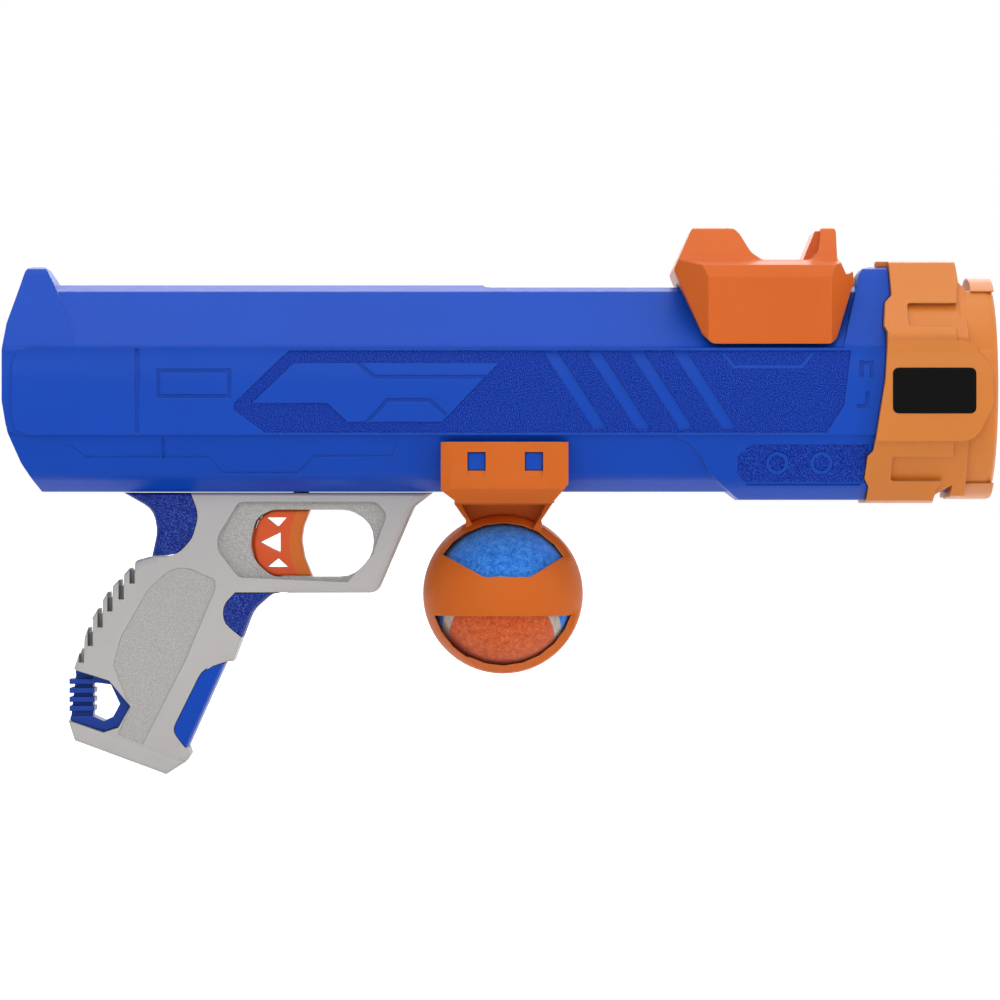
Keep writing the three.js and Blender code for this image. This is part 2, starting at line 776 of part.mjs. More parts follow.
function bodyShells() {
  const body = bodySolid();
  const inside = cavity();
  const places = shellScrewPlaces();
  const slotHalf = tongueHalfWidth + slideGap;
  const slotRear = tongueRearX - cockingStroke - slotHalf;
  const slotFront = barFrontX + slotHalf;
  const topSlot = alongZ(outline([
    [slotRear, -slotHalf, slotHalf], [slotFront, -slotHalf, slotHalf],
    [slotFront, slotHalf, slotHalf], [slotRear, slotHalf, slotHalf],
  ]), barTopZ, bodyHalfHeight + overrun);
  const armFront = triggerArmFront();
  const armSlot = alongZ(
    box(armFront - triggerArmLength - triggerTravel - slideGap, -triggerArmHalfWidth - slideGap,
      armFront + slideGap, triggerArmHalfWidth + slideGap),
    -bodyHalfHeight - overrun, -bodyHalfHeight + overrun,
  );
  const fittings = [...ribs(), ...bosses(places, screwBossRadius, bodyHalfWidth), ...catchGuides()];
  const held = joined(fittings).intersect(body);
  const whole = cutBy(joined(body.subtract(inside), held), topSlot, armSlot,
    places.flatMap((place) => screwHoles(place, bodyHalfWidth)));
  return [half(whole, -1), half(whole, 1)];
}

// Muzzle cap: two rows of lugs and a flank panel over a core, with a round ring at the muzzle.
const upperLugShares = [
  ...capRearShares.slice(0, 6), [0.625, 0.34], [0.625, 0.288], [0.205, 0.283, 0.013],
  [0.205, 0.183, 0.013], [0.65, 0.183], [0.66, 0.13], [0.68, 0.09], [0.65, -0.1],
];
const lowerLugShares = [
  [-0.098, 0.745], ...capRearShares.slice(8), [0.43, 1.1], [0.46, 0.95], [0.517, 0.91],
  [0.056, 0.91, 0.013],
  [0.056, 0.811, 0.013], [0.597, 0.811], [0.6, 0.745],
];
const flankPanelShares = [
  [0.01, 0.34], [-0.012, 0.5], [-0.099, 0.75], [0.79, 0.75, 0.082], [0.95, 0.6, 0.082],
  [0.945, 0.45, 0.082],
  [0.75, 0.34, 0.082],
];

const capUpperShares = [[0.3, 1], [1, 0.4]];
const capLowerShares = [[1, 0.46], [0.55, 1]];

// Notches between the lugs and the ring's ears.
const notchShares = [
  [[0.65, -0.1], [0.68, 0.09], [0.76, 0.13], [0.79, 0.125], [0.79, -0.1]],
  [[0.46, 1.1], [0.47, 0.965], [0.62, 0.925], [0.55, 1.1]],
];
const capSkirtShare = 0.21; // of the cap's length, the lower lugs' reach to the rear

function muzzleCap() {
  const [crown, upper] = capUpperShares.map(([u, v]) => [u * capHalfWidth, v * capHeight]);
  const [lower, foot] = capLowerShares.map(([u, v]) => [u * capHalfWidth, -v * capDrop]);
  const section = mirrored([
    [...crown, topRadius], [...upper, shoulderRadius], [...lower, shoulderRadius], [...foot, topRadius],
  ]);
  const rear = capRearX - capSkirtShare * capLength;
  const ringRear = muzzleReach - capRingLength;
  const wide = capHalfWidth + capPanelStand;
  const full = alongX(outline(section), rear, ringRear + capRingRound);
  const core = alongX(outline(grown(section, -capCoreInset)), rear, ringRear + capRingRound).intersect(
    throughY(outline([...capBox(capRearShares), [muzzleReach, -capDrop - overrun],
      [muzzleReach, capHeight + overrun]]), wide + overrun));
  const lugs = [upperLugShares, lowerLugShares].map((shares) =>
    full.intersect(throughY(outline(capBox(shares)), wide + overrun)));
  const panel = throughY(outline(capBox(flankPanelShares)), wide).intersect(joined(
    alongY(box(rear, -capDrop, muzzleReach, capHeight), capHalfWidth / 2, wide),
    alongY(box(rear, -capDrop, muzzleReach, capHeight), -wide, -capHalfWidth / 2)));
  const outer = capRingRadius - earStand;
  const ring = turned([
    [ringRear - capRingRound, lipBore], [ringRear - capRingRound, outer - 2 * capRingRound],
    [ringRear, outer],
    [muzzleReach - capRingRound - ringBevel, outer], [muzzleReach - ringBevel, outer - ringBevel],
    [muzzleReach, outer - capRingRound], [muzzleReach, lipBore + lipThickness / 2],
    [muzzleReach - lipThickness / 2, lipBore],
  ], boreSides);
  const ears = rodAlongX(capRingRadius, rear, muzzleReach, boreSides).intersect(throughY(outline([
    [muzzleReach - upperEarLength, earRise], [muzzleReach, earRise],
    [muzzleReach, capRingRadius, earRadius], [muzzleReach - upperEarLength, capRingRadius],
  ]), wide).add(throughY(outline([
    [muzzleReach - lowerEarLength, -earRise - earRadius], [muzzleReach - lowerEarLength, -capRingRadius],
    [muzzleReach, -capRingRadius, earRadius], [muzzleReach, -earRise],
    [muzzleReach - upperEarLength, -earRise],
  ]), wide)));
  const tab = throughY(box(capRearX - capTabLength / 2, blockTop + seatGap, capRearX + capTabLength * 2,
    capHeight), capTabHalfWidth);
  const neck = alongX(outline(grown(bodyCorners(), seatGap)), rear - overrun, neckFrontX + seatGap);
  const seat = rodAlongX(retainerRadius + seatGap, rear, muzzleReach - lipThickness, boreSides);
  const bore = rodAlongX(lipBore, rear, muzzleReach + overrun, boreSides);
  const shoulder = rodAlongX(lipBore, ringRear, muzzleReach - lipThickness);
  const notches = notchShares.map((shares) =>
    throughY(outline(capBox(shares)), capHalfWidth / 2 + overrun));
  return cutBy(joined(core, lugs, panel, ring, ears, tab), neck, seat, shoulder, bore, notches);
}

// Soft ring at the muzzle with petals that lean back into the bore.
function ballRetainer() {
  const front = muzzleReach - lipThickness - seatGap;
  const rear = front - retainerThickness;
  const tip = ballDiameter / 2 - petalBite;
  const root = boreRadius - seatGap;
  const ring = turned([
    [front, retainerRadius], [front, root - petalWall], [rear - retainerReach, tip - petalWall / 2],
    [rear - retainerReach, tip + petalWall / 2], [rear - seatGap, root], [rear, root],
    [rear, retainerRadius],
  ]);
  const slit = alongX(box(-petalSlit / 2, 0, petalSlit / 2, root + 2 * seatGap), rear - 2 * retainerReach,
    front + overrun);
  const slits = Array.from({ length: petalCount }, (_, i) => slit.rotate([(360 * i) / petalCount, 0, 0]));
  return cutBy(ring, slits);
}

function barrelTube() {
  const rear = barrelRearX;
  return turned([
    [rear, boreRadius], [barrelFrontX, boreRadius], [barrelFrontX, retainerRadius],
    [barrelFrontX - flangeThickness, retainerRadius], [barrelFrontX - flangeThickness, barrelRadius],
    [rear, barrelRadius],
  ], boreSides);
}

function airCylinder() {
  const rear = cylinderRearX;
  const front = cylinderFrontX;
  const wall = front - bulkheadThickness;
  return turned([
    [rear, cylinderBore], [wall, cylinderBore], [wall, portRadius], [front, portRadius],
    [front, barrelRadius], [wall, barrelRadius], [wall, cylinderRadius],
    [rear, cylinderRadius],
  ]);
}

function cylinderRearCap() {
  const front = cylinderRearX - seatGap;
  const rear = front - rearCapThickness;
  const spigot = cylinderBore - seatGap;
  return turned([
    [rear, rodRadius + slideGap], [front + rearCapSpigot, rodRadius + slideGap],
    [front + rearCapSpigot, springRadius - 2 * springWire],
    [front + rearCapSpigot / 2, springRadius - 2 * springWire],
    [front + rearCapSpigot / 2, spigot - tubeWall], [front + rearCapSpigot, spigot - tubeWall],
    [front + rearCapSpigot, spigot], [front, spigot], [front, cylinderRadius], [rear, cylinderRadius],
  ]);
}

function bumperPad() {
  const rear = padFrontX - padThickness;
  const outer = cylinderBore - seatGap;
  return turned([
    [rear, portRadius], [padFrontX, portRadius], [padFrontX, outer], [rear + seatGap, outer],
    [rear, outer - seatGap],
  ]);
}

function piston() {
  const face = pistonFrontX - pistonFace;
  const groove = cylinderBore - sealBite - 2 * sealWire - sealBite;
  const middle = pistonFrontX - pistonFace / 2;
  const half = sealWire + seatGap;
  const skirt = pistonRadius - pistonSkirtWall;
  return turned([
    [pistonFrontX, 0], [pistonFrontX, pistonRadius], [middle + half, pistonRadius], [middle + half, groove],
    [middle - half, groove], [middle - half, pistonRadius], [pistonRearX, pistonRadius],
    [pistonRearX, skirt], [face, skirt], [face, pistonHubRadius], [pistonRearX, pistonHubRadius],
    [pistonRearX, rodRadius + seatGap], [face, rodRadius + seatGap], [face, 0],
  ]);
}

function pistonRing() {
  const middle = pistonFrontX - pistonFace / 2;
  const radius = cylinderBore - sealBite - sealWire;
  const corners = Array.from({ length: ringSides }, (_, i) => {
    const angle = (2 * Math.PI * i) / ringSides;
    return [middle + sealWire * Math.cos(angle), radius + sealWire * Math.sin(angle)];
  });
  return turned(corners);
}

// Rod with its tail collar, flat underneath to pass over the catch, and the groove that cocks.
function plungerRod() {
  const half = catchGrooveWidth / 2;
  const neck = rodRadius - catchGrooveDepth;
  const rod = turned([
    [rodFrontX, 0], [rodFrontX, rodRadius], [grooveX + half, rodRadius], [grooveX + half, neck],
    [grooveX - half, neck], [grooveX - half, rodRadius], [collarFrontX, rodRadius],
    [collarFrontX, collarRadius], [collarFrontX - collarThickness, collarRadius],
    [collarFrontX - collarThickness, 0],
  ], smallSides * 2);
  const under = box(collarFrontX - collarThickness - overrun, -2 * collarRadius,
    collarFrontX + slideGap, -rodRadius);
  return cutBy(rod, throughY(under, collarRadius + overrun));
}

// Bar under the shells' roof that hooks the rod's collar and carries the slide's tongue.
function drawBar() {
  const bar = alongX(box(-barHalfWidth, barBottomZ, barHalfWidth, barTopZ), forkRearX, barFrontX);
  const slot = rodRadius + slideGap;
  const fork = alongX(
    outline([
      [-forkHalfWidth, -forkReach], [-slot, -forkReach], [-slot, slot, slot], [slot, slot, slot],
      [slot, -forkReach], [forkHalfWidth, -forkReach], [forkHalfWidth, forkHalfWidth, slot],
      [barHalfWidth, collarRadius + rodRadius], [barHalfWidth, barTopZ], [-barHalfWidth, barTopZ],
      [-barHalfWidth, collarRadius + rodRadius], [-forkHalfWidth, forkHalfWidth, slot],
    ]),
    forkRearX, forkRearX + forkThickness,
  );
  const brace = throughY(outline([
    [forkRearX, barBottomZ - 2 * barThickness], [forkRearX + 3 * forkThickness, barBottomZ + seatGap],
    [forkRearX, barBottomZ + seatGap],
  ]), ribThickness / 2);
  return cutBy(joined(bar, fork, brace), slideScrewPlaces().flatMap((place) => slideScrewHoles(place)));
}

const slideScrewShares = [0.25, 0.75];

function slideScrewPlaces() {
  return slideScrewShares.map((share) => tongueRearX + share * tongueLength);
}

function slideScrewHoles(x) {
  const steps = smallSides / 2;
  const seat = barBottomZ + screwHeadHeight + 2 * seatGap;
  return [
    alongZ(circle(screwHeadRadius + seatGap, x), barBottomZ - overrun, seat, steps),
    alongZ(circle(screwShankRadius + seatGap, x), barBottomZ - overrun, seat + screwLength + seatGap, steps),
  ];
}

function slideScrew(x) {
  const steps = smallSides / 2;
  const seat = barBottomZ + screwHeadHeight + seatGap;
  const head = alongZ(circle(screwHeadRadius, x), seat - screwHeadHeight, seat, steps);
  const shank = alongZ(circle(screwShankRadius, x), seat - screwHeadHeight / 2,
    seat + screwLength - seatGap, steps);
  const slot = box(x - screwHeadRadius, -screwSlotWidth / 2, x + screwHeadRadius, screwSlotWidth / 2);
  const underside = seat - screwHeadHeight;
  return cutBy(joined(head, shank), alongZ(slot, underside - overrun, underside + screwSlotDepth));
}

// Cocking slide: a saddle over the body's top with a hump to pull on and an arch ahead of it.
const slideSideShares = [
  [0, 0.365, 0.056], [0.108, 0, 0.038], [0.348, 0, 0.113], [0.43, 0.22, 0.12], [0.49, 0.284, 0.06],
  [0.755, 0.284, 0.06],
  [0.802, 0.21, 0.075], [0.822, 0, 0.019], [0.904, 0, 0.038], [0.904, 0.267], [0.951, 0.407],
  [0.997, 0.425], [0.994, 0.48], [0.895, 0.95, 0.075], [0.862, 1, 0.056], [0.206, 1, 0.075],
  [0.155, 0.92, 0.056], [0.039, 0.5],
];
const slideStepShares = [[0.951, 0.407], [0.972, 0.4], [0.992, 0.38], [1, 0.5], [0.94, 0.5]];
const slideRampShares = [[0.72, 0.29], [0.79, 0.03], [0.86, 0.03], [0.86, 0.29]];
const slideRampHalfWidth = 20;

function slideForm(inset) {
  const floorZ = slideTop - slideFloorShare * slideHeight;
  const half = slideHalfWidth;
  const side = grown(inBox(slideSideShares, slideRear, slideTop, slideLength, slideHeight), -inset);
  const front = slideRear + slideLength;
  const plan = [
    [slideRear, 0], [slideRear, half - slideBevelWidth], [slideRear + slideBevel, half],
    [front - slideFrontBevel, half], [front, half - slideBevelWidth], [front, slideBevelWidth - half],
    [front - slideFrontBevel, -half], [slideRear + slideBevel, -half], [slideRear, slideBevelWidth - half],
  ];
  const section = mirrored([
    [slideCrownHalfWidth, slideTop, shoulderRadius], [slideShoulderShare * half, floorZ, slideStripWidth],
    [half - slideStripWidth, slideBottom + slideFlank + slideStripRise], [half, slideBottom + slideFlank],
    [half, slideBottom],
  ]);
  const shell = grown(section, -inset);
  const onSide = (shares) => outline(inBox(shares, slideRear, slideTop, slideLength, slideHeight));
  const body = throughY(outline(side), half);
  const shape = alongZ(outline(grown(plan, -inset)), slideBottom - overrun, slideTop + overrun);
  if (inset === 0) {
    const step = throughY(onSide(slideStepShares), half);
    const ramp = throughY(onSide(slideRampShares), slideRampHalfWidth);
    return joined(body, step, ramp).intersect(alongX(outline(shell), slideRear, front)).intersect(shape);
  }
  const low = slideBottom - overrun;
  const mid = slideBottom + slideFlank / 2;
  const skirt = throughY(box(slideRear + 2 * slideBevel, low, front - 2 * slideFrontBevel, mid), half);
  const way = alongX(box(inset - half, low, half - inset, mid), slideRear, front);
  const across = joined(alongX(outline(shell), slideRear, front), way);
  return joined(body, skirt).intersect(across).intersect(shape);
}

function cockingSlide() {
  const bodyWay = alongX(outline(grown(bodyCorners(), slideGap)), slideRear - overrun,
    slideRear + slideLength + overrun);
  const tongue = alongZ(box(tongueRearX, -tongueHalfWidth, barFrontX - seatGap, tongueHalfWidth),
    barTopZ + seatGap, slideTop - slideFloorShare * slideHeight - slideWall / 2);
  return cutBy(
    joined(cutBy(slideForm(0), slideForm(slideWall), bodyWay), tongue),
    slideScrewPlaces().flatMap((place) => slideScrewHoles(place)),
  );
}

// The grip's silhouette: tang, guard, handle and foot.
const gripShares = [
  [0.153, 0], [1, 0], [0.95, 0.05, 0.047], [0.849, 0.356, 0.039], [0.56, 0.357, 0.063], [0.505, 0.42, 0.11],
  [0.47, 0.54], [0.453, 0.6], [0.432, 0.602], [0.328, 0.902], [0.335, 0.931], [0.322, 0.958],
  [0.271, 1], [0.02, 0.88], [0, 0.806], [0.018, 0.62], [0.06, 0.46, 0.078], [0.11, 0.35, 0.078],
  [0.19, 0.24], [0.231, 0.225], [0.245, 0.14, 0.11], [0.235, 0.06, 0.078],
];
const openingShares = [
  [0.56, 0.3, 0.078], [0.512, 0.245, 0.094], [0.5, 0.181, 0.11], [0.515, 0.09, 0.094], [0.56, 0.061, 0.078],
  [0.78, 0.061, 0.11], [0.838, 0.12, 0.11], [0.838, 0.22, 0.11], [0.78, 0.3, 0.11],
];
const recessShares = [
  [0.47, 0.033, 0.031], [0.85, 0.033, 0.047], [0.875, 0.08, 0.031], [0.836, 0.221], [0.767, 0.318],
  [0.469, 0.301, 0.031],
  [0.411, 0.206, 0.063], [0.411, 0.156, 0.063],
];
const palmShares = [
  [0.33, 0.268, 0.078], [0.406, 0.31, 0.047], [0.404, 0.345], [0.323, 0.597], [0.206, 0.895],
  [0.138, 0.859],
  [0.17, 0.764], [0.125, 0.613], [0.146, 0.513, 0.094], [0.22, 0.345, 0.11], [0.283, 0.27, 0.078],
];
const backInsertShares = [
  [0.335, -0.1], [0.335, 0], [0.358, 0.078, 0.094], [0.341, 0.159, 0.078], [0.3, 0.222, 0.094],
  [0.231, 0.226],
  [0.05, 0.226], [0.05, -0.1],
];
const upperInsertShares = [
  [0.46, 0.357], [0.428, 0.4, 0.063], [0.428, 0.46, 0.063], [0.482, 0.518], [0.6, 0.518], [0.6, 0.357],
];
const lowerInsertShares = [
  [0.436, 0.602], [0.37, 0.63, 0.071], [0.331, 0.733], [0.288, 0.845, 0.039], [0.322, 0.903], [0.42, 0.903],
  [0.5, 0.602],
];
const loopShares = [
  [0.02, 0.632], [0.113, 0.67], [0.17, 0.759], [0.138, 0.833], [0.097, 0.85], [0.004, 0.809],
];
const loopWayShares = [[-0.2, 0.73], [-0.2, 0.55]];
const loopBarShares = [[-0.1, 0.645], [0.066, 0.795]];
const loopRibReachShares = [0.002, 0.071];
const loopHoleShares = [
  [0.066, 0.675], [0.116, 0.683], [0.141, 0.752], [0.122, 0.798], [0.097, 0.813], [0.066, 0.795],
];
const loopRibShares = [0.672, 0.704, 0.736, 0.768];
const footShares = [
  [0, 0.8], [0.105, 0.855], [0.322, 0.955], [0.271, 1], [0.02, 0.88],
];
const handleCavityShares = [
  [0.34, 0.31], [0.38, 0.34], [0.31, 0.56], [0.25, 0.71], [0.21, 0.74], [0.17, 0.6], [0.2, 0.45],
  [0.26, 0.34],
];
const toothShares = [
  [0.177, 0.323], [0.147, 0.379], [0.116, 0.422], [0.089, 0.479], [0.062, 0.545], [0.038, 0.604],
];

function gripBox(shares) {
  return inBox(shares, -gripLeft, gripTop, gripWidth, gripHeight);
}

function gripForm() {
  const foot = gripHalfWidth + footStand;
  return joined(
    alongY(outline(gripBox(gripShares)), -gripHalfWidth, gripHalfWidth, gripSteps, gripBevel),
    alongY(outline(gripBox(footShares)), -foot, foot, cornerSteps, footBevel),
  );
}

function gripInsert(form, shares) {
  return form.intersect(throughY(outline(gripBox(shares)), gripHalfWidth + overrun, gripSteps));
}

const gripScrewShares = [[0.21, 0.315], [0.945, 0.028], [0.378, 0.5], [0.24, 0.935]];

function gripScrewPlaces() {
  return gripBox(gripScrewShares);
}

function triggerCavity() {
  const rear = triggerLeft + triggerTail - triggerTravel - triggerSpringLength;
  const roof = triggerTop + seatGap;
  return throughY(box(rear, triggerTop - triggerHeight - slideGap, triggerLeft + triggerWidth, roof),
    triggerHalfWidth + slideGap);
}

function gripHalves(form) {
  const wide = gripHalfWidth + overrun;
  const inserts = [backInsertShares, upperInsertShares, lowerInsertShares].map((shares) =>
    throughY(outline(grown(gripBox(shares), seatGap)), wide, gripSteps));
  const loop = throughY(outline(grown(gripBox([...loopShares, ...loopWayShares]), seatGap)), wide);
  const slot = (x, z, top) => box(x - toothWidth / 2, z, x + toothWidth / 2, top);
  const teeth = gripBox(toothShares).flatMap(([x, z]) => [
    ...flankTool(slot(x, z, z + toothLength), gripHalfWidth, toothDepth),
    throughY(slot(x, z + toothWeb, z + toothLength), wide),
  ]);
  const armFront = triggerArmFront();
  const armSlot = throughY(
    box(armFront - triggerArmLength - triggerTravel - slideGap, triggerTop - overrun, armFront + slideGap,
      gripTop + overrun),
    triggerArmHalfWidth + slideGap,
  );
  const handle = throughY(outline(gripBox(handleCavityShares)), handleCavityHalfWidth);
  const places = gripScrewPlaces();
  const whole = cutBy(form, inserts, loop, teeth, armSlot, triggerCavity(), handle,
    throughY(outline(gripBox(openingShares)), wide, gripSteps),
    flankTool(outline(gripBox(recessShares)), gripHalfWidth, guardRecess, gripSteps),
    flankTool(outline(gripBox(palmShares)), gripHalfWidth, palmDepth, gripSteps),
    places.flatMap((place) => screwHoles(place, gripHalfWidth)));
  return [half(whole, -1), half(whole, 1)];
}

// Loop for a wrist cord, thinner along its rear bar, with ribs across that bar.
function lanyardLoop() {
  const ring = throughY(outline(gripBox(loopShares)), loopHalfWidth);
  const hole = throughY(outline(gripBox(loopHoleShares)), loopHalfWidth + overrun);
  const [[left, top], [right, foot]] = gripBox(loopBarShares);
  const thin = flankTool(box(left, foot, right, top), loopHalfWidth, loopHalfWidth - loopBarHalfWidth);
  const ribs = loopRibShares.map((share) => {
    const [[from, z], [to]] = gripBox(loopRibReachShares.map((reach) => [reach, share]));
    return throughY(box(from, z - toothWidth / 2, to, z + toothWidth / 2), loopHalfWidth);
  });
  return joined(cutBy(ring, hole, thin), ribs);
}

// Trigger: the finger piece, its hidden tail, and an arm with a cross bar that works the catch.
const triggerShares = [
  [0.32, 1, 0.266], [0.07, 0.8, 0.266], [0.018, 0.5, 0.266], [0.1, 0.14, 0.266], [0.33, 0, 0.199],
  [0.975, 0],
  [0.868, 0.251, 0.266], [0.833, 0.461, 0.266], [0.88, 0.716, 0.266], [1.01, 1],
];
const triggerHoleShares = [
  [[0.23, 0.12], [0.58, 0.12], [0.44, 0.26]],
  [[0.13, 0.493], [0.48, 0.34], [0.48, 0.645]],
  [[0.44, 0.73], [0.25, 0.865], [0.61, 0.865]],
];

const triggerArmShare = 0.95;
const tailShares = [0.28, 0.72];
const tailReachShare = 0.13;

function triggerArmFront() {
  return triggerLeft + triggerArmShare * triggerWidth;
}

function crossBarX() {
  return triggerArmFront() - triggerArmLength / 2;
}

function rampZ(x) {
  const start = catchX + catchBlade / 2;
  return -catchRampTop - catchRatio * (x - start);
}

function crossBarZ() {
  const slope = Math.hypot(1, catchRatio);
  return rampZ(crossBarX()) + (crossBarRadius + seatGap) * slope;
}

function trigger() {
  const place = (shares) => inBox(shares, triggerLeft, triggerTop, triggerWidth, triggerHeight);
  const finger = alongY(outline(place(triggerShares)), -triggerHalfWidth, triggerHalfWidth, cornerSteps,
    triggerBevel);
  const holes = triggerHoleShares.map((shares) =>
    throughY(outline(place(shares)), triggerHalfWidth + overrun));
  const [tailTop, tailFoot] = tailShares.map((share) => triggerTop - share * triggerHeight);
  const tail = throughY(
    box(triggerLeft - triggerTail, tailFoot, triggerLeft + tailReachShare * triggerWidth, tailTop),
    triggerHalfWidth - triggerBevel,
  );
  const front = triggerArmFront();
  const armTop = crossBarZ() + crossBarRadius;
  const arm = throughY(box(front - triggerArmLength, triggerTop - triggerBevel, front, armTop),
    triggerArmHalfWidth);
  const bar = throughY(circle(crossBarRadius, crossBarX(), crossBarZ()), catchHalfWidth, smallSides / 2);
  return joined(cutBy(finger, holes), tail, arm, bar);
}

function triggerSpring() {
  const front = triggerLeft - triggerTail - seatGap;
  const rear = triggerLeft + triggerTail - triggerTravel - triggerSpringLength + seatGap;
  const place = new THREE.Matrix4().makeTranslation(rear, 0, triggerTop - triggerHeight / 2);
  return coil(triggerSpringRadius, triggerSpringWire, front - rear, triggerSpringTurns, place);
}

// Catch: a blade under the rod on a column, with two ramps that the trigger's cross bar presses down.
function catchPiece() {
  const front = catchX + catchBlade / 2;
  const rear = front - catchColumn;
  const top = -rodRadius - seatGap;
  const blade = throughY(box(front - catchBlade, -guideTop, front, top), catchBladeHalfWidth);
  const column = throughY(box(rear, -catchFoot, front, -guideTop + catchNeck / 3), catchHalfWidth);
  const ramp = outline([
    [front - seatGap, -catchRampTop], [front + catchRampLength, rampZ(front + catchRampLength)],
    [front + catchRampLength, -catchFoot], [front - seatGap, -catchFoot],
  ]);
  const gap = triggerArmHalfWidth + slideGap;
  const cheeks = cutBy(throughY(ramp, catchHalfWidth),
    throughY(box(front, -catchFoot - overrun, front + catchRampLength + overrun, 0), gap));
  const ledge = throughY(box(rear - catchLedge, -catchLedgeDrop - catchLedgeThickness, rear + seatGap,
    -catchLedgeDrop), catchHalfWidth - seatGap);
  return joined(blade, column, cheeks, ledge);
}

function catchSpring() {
  const x = catchX + catchBlade / 2 - catchColumn - catchLedge / 2;
  const foot = -bodyHalfHeight + shellWall + seatGap;
  const top = -catchLedgeDrop - catchLedgeThickness - seatGap;
  const place = new THREE.Matrix4().makeTranslation(x, 0, foot).multiply(
    new THREE.Matrix4().makeRotationY(-Math.PI / 2));
  return coil(catchSpringRadius, catchSpringWire, top - foot, catchSpringTurns, place);
}

function mainSpring() {
  const rear = cylinderRearX + rearCapSpigot / 2;
  const front = pistonFrontX - pistonFace - seatGap;
  const place = new THREE.Matrix4().makeTranslation(rear, 0, 0);
  return coil(springRadius, springWire, front - rear, springTurns, place);
}

// Clip: a saddle that snaps over the lugs, a necked stem and an open cage for the spare ball.
const saddleShares = [
  [0, 0], [1, 0], [1, 0.69], [0.89, 0.96], [0.89, 1], [0.107, 1], [0.107, 0.96], [0, 0.79],
];
const stemShares = [
  [0.057, -0.12], [0.93, -0.12], [0.92, 0.05], [0.826, 0.98], [0.84, 1.6], [0.16, 1.6],
  [0.158, 0.98], [0.057, 0.05],
];
const stemReachShare = 0.05; // each end of the stem inside the saddle's
const neckPocketShares = [
  [0.118, 0.09], [0.865, 0.09], [0.8, 0.95], [0.76, 1.3], [0.22, 1.3], [0.19, 0.95],
];
const upperWindowShares = [
  [-0.2, -0.2], [1.2, -0.2], [0.9, 0.25], [0.667, 0.39], [0.383, 0.39], [0.12, 0.25],
];
const lowerWindowFootShare = 0.63;

function ballClip() {
  const floor = -clipTop - clipHeight;
  const sides = mirrored([[clipHalfWidth, -clipTop], [clipHalfWidth, floor + clipChamferDrop, clipBend],
    [clipHalfWidth - clipChamfer, floor]]);
  const whole = clipHalfWidth + overrun;
  const saddleSide = inBox(saddleShares, clipLeft, -clipTop, clipWidth, clipHeight);
  const way = bodyHalfWidth + slideGap;
  const wayFloor = floor + clipFloor;
  const blockWay = outline([
    [-way, wayFloor, shoulderRadius], [way, wayFloor, shoulderRadius], [way, 0], [-way, 0],
  ]);
  const right = clipLeft + clipWidth;
  const end = clipHalfWidth - clipEndInset;
  const plan = outline([
    [clipLeft, -end], [clipLeft + clipEndBevel, -clipHalfWidth], [right - clipEndBevel, -clipHalfWidth],
    [right, -end], [right, end], [right - clipEndBevel, clipHalfWidth],
    [clipLeft + clipEndBevel, clipHalfWidth], [clipLeft, end],
  ]);
  const saddle = alongX(outline(sides), clipLeft, right).intersect(
    throughY(outline(saddleSide), whole)).intersect(alongZ(plan, floor - overrun, 0));
  const windows = clipWindowShares.map((share) => throughY(clipWindow(share, 0), whole));
  const rampTop = -clipTop - clipWindowFootShare * clipHeight;
  const ramps = clipWindowShares.flatMap(([from, to]) => [1, -1].map((side) => alongX(outline([
    [side * (clipHalfWidth - clipRampDepth), rampTop + seatGap],
    [side * (clipHalfWidth + overrun), rampTop + seatGap], [side * clipHalfWidth, rampTop - clipRampLength],
  ]), clipLeft + from * clipWidth, clipLeft + to * clipWidth)));
  const lugWays = clipWindowShares.map(([left, right]) =>
    throughY(box(clipLeft + left * clipWidth, -clipTop - clipWindowFootShare * clipHeight,
      clipLeft + right * clipWidth, 0), bodyHalfWidth + lugStand + lugGap));
  const stemDrop = ballDrop - cageRadius + floor;
  const inStem = (shares) => outline(inBox(shares, clipLeft + stemReachShare * clipWidth, floor,
    clipWidth - 2 * stemReachShare * clipWidth, stemDrop + cageWall));
  const pocket = flankTool(inStem(neckPocketShares), neckHalfWidth, neckPocket).map((tool) =>
    tool.subtract(sphere(cageRadius)));
  const stem = cutBy(throughY(inStem(stemShares), neckHalfWidth), ballWay(), pocket, cageWindows());
  const hollow = cutBy(saddle, alongX(blockWay, 0, capRearX), windows, lugWays, ramps);
  return joined(hollow, stem, ballCage());
}

// A profile of [towards the open side, radius] corners turned about the ball's own Y axis.
function turnedAtBall(profile) {
  const points = profile.map(([y, radius]) => new THREE.Vector2(radius, y));
  if (THREE.ShapeUtils.area(points) < 0) points.reverse();
  const geometry = new THREE.LatheGeometry([...points, points[0]], ballSides);
  geometry.translate(ballX, 0, -ballDrop);
  return solidOf(geometry);
}

// Points of a quarter or half turn from the closed side towards the open one.
function arcOf(radius, turns) {
  const steps = turns * ballSides;
  return Array.from({ length: steps + 1 }, (_, i) => {
    const angle = (2 * Math.PI * i) / ballSides;
    const onAxis = i === 0 || 2 * i === ballSides;
    return [-radius * Math.cos(angle), onAxis ? 0 : radius * Math.sin(angle)];
  });
}

const quarter = 1 / 4;
const sphere = (radius) => turnedAtBall(arcOf(radius, 2 * quarter));

// The room for the ball, and its way out to the open side.
function ballWay() {
  const inner = ballDiameter / 2 + seatGap;
  return turnedAtBall([...arcOf(inner, quarter), [ballDiameter, inner], [ballDiameter, 0]]);
}

function ballCage() {
  const inner = ballDiameter / 2 + seatGap;
  const bowl = turnedAtBall([
    ...arcOf(cageRadius, quarter), [cageCollar, cageRadius], [cageCollar, inner],
    ...arcOf(inner, quarter).reverse(),
  ]);
  return cutBy(bowl, cageWindows());
}

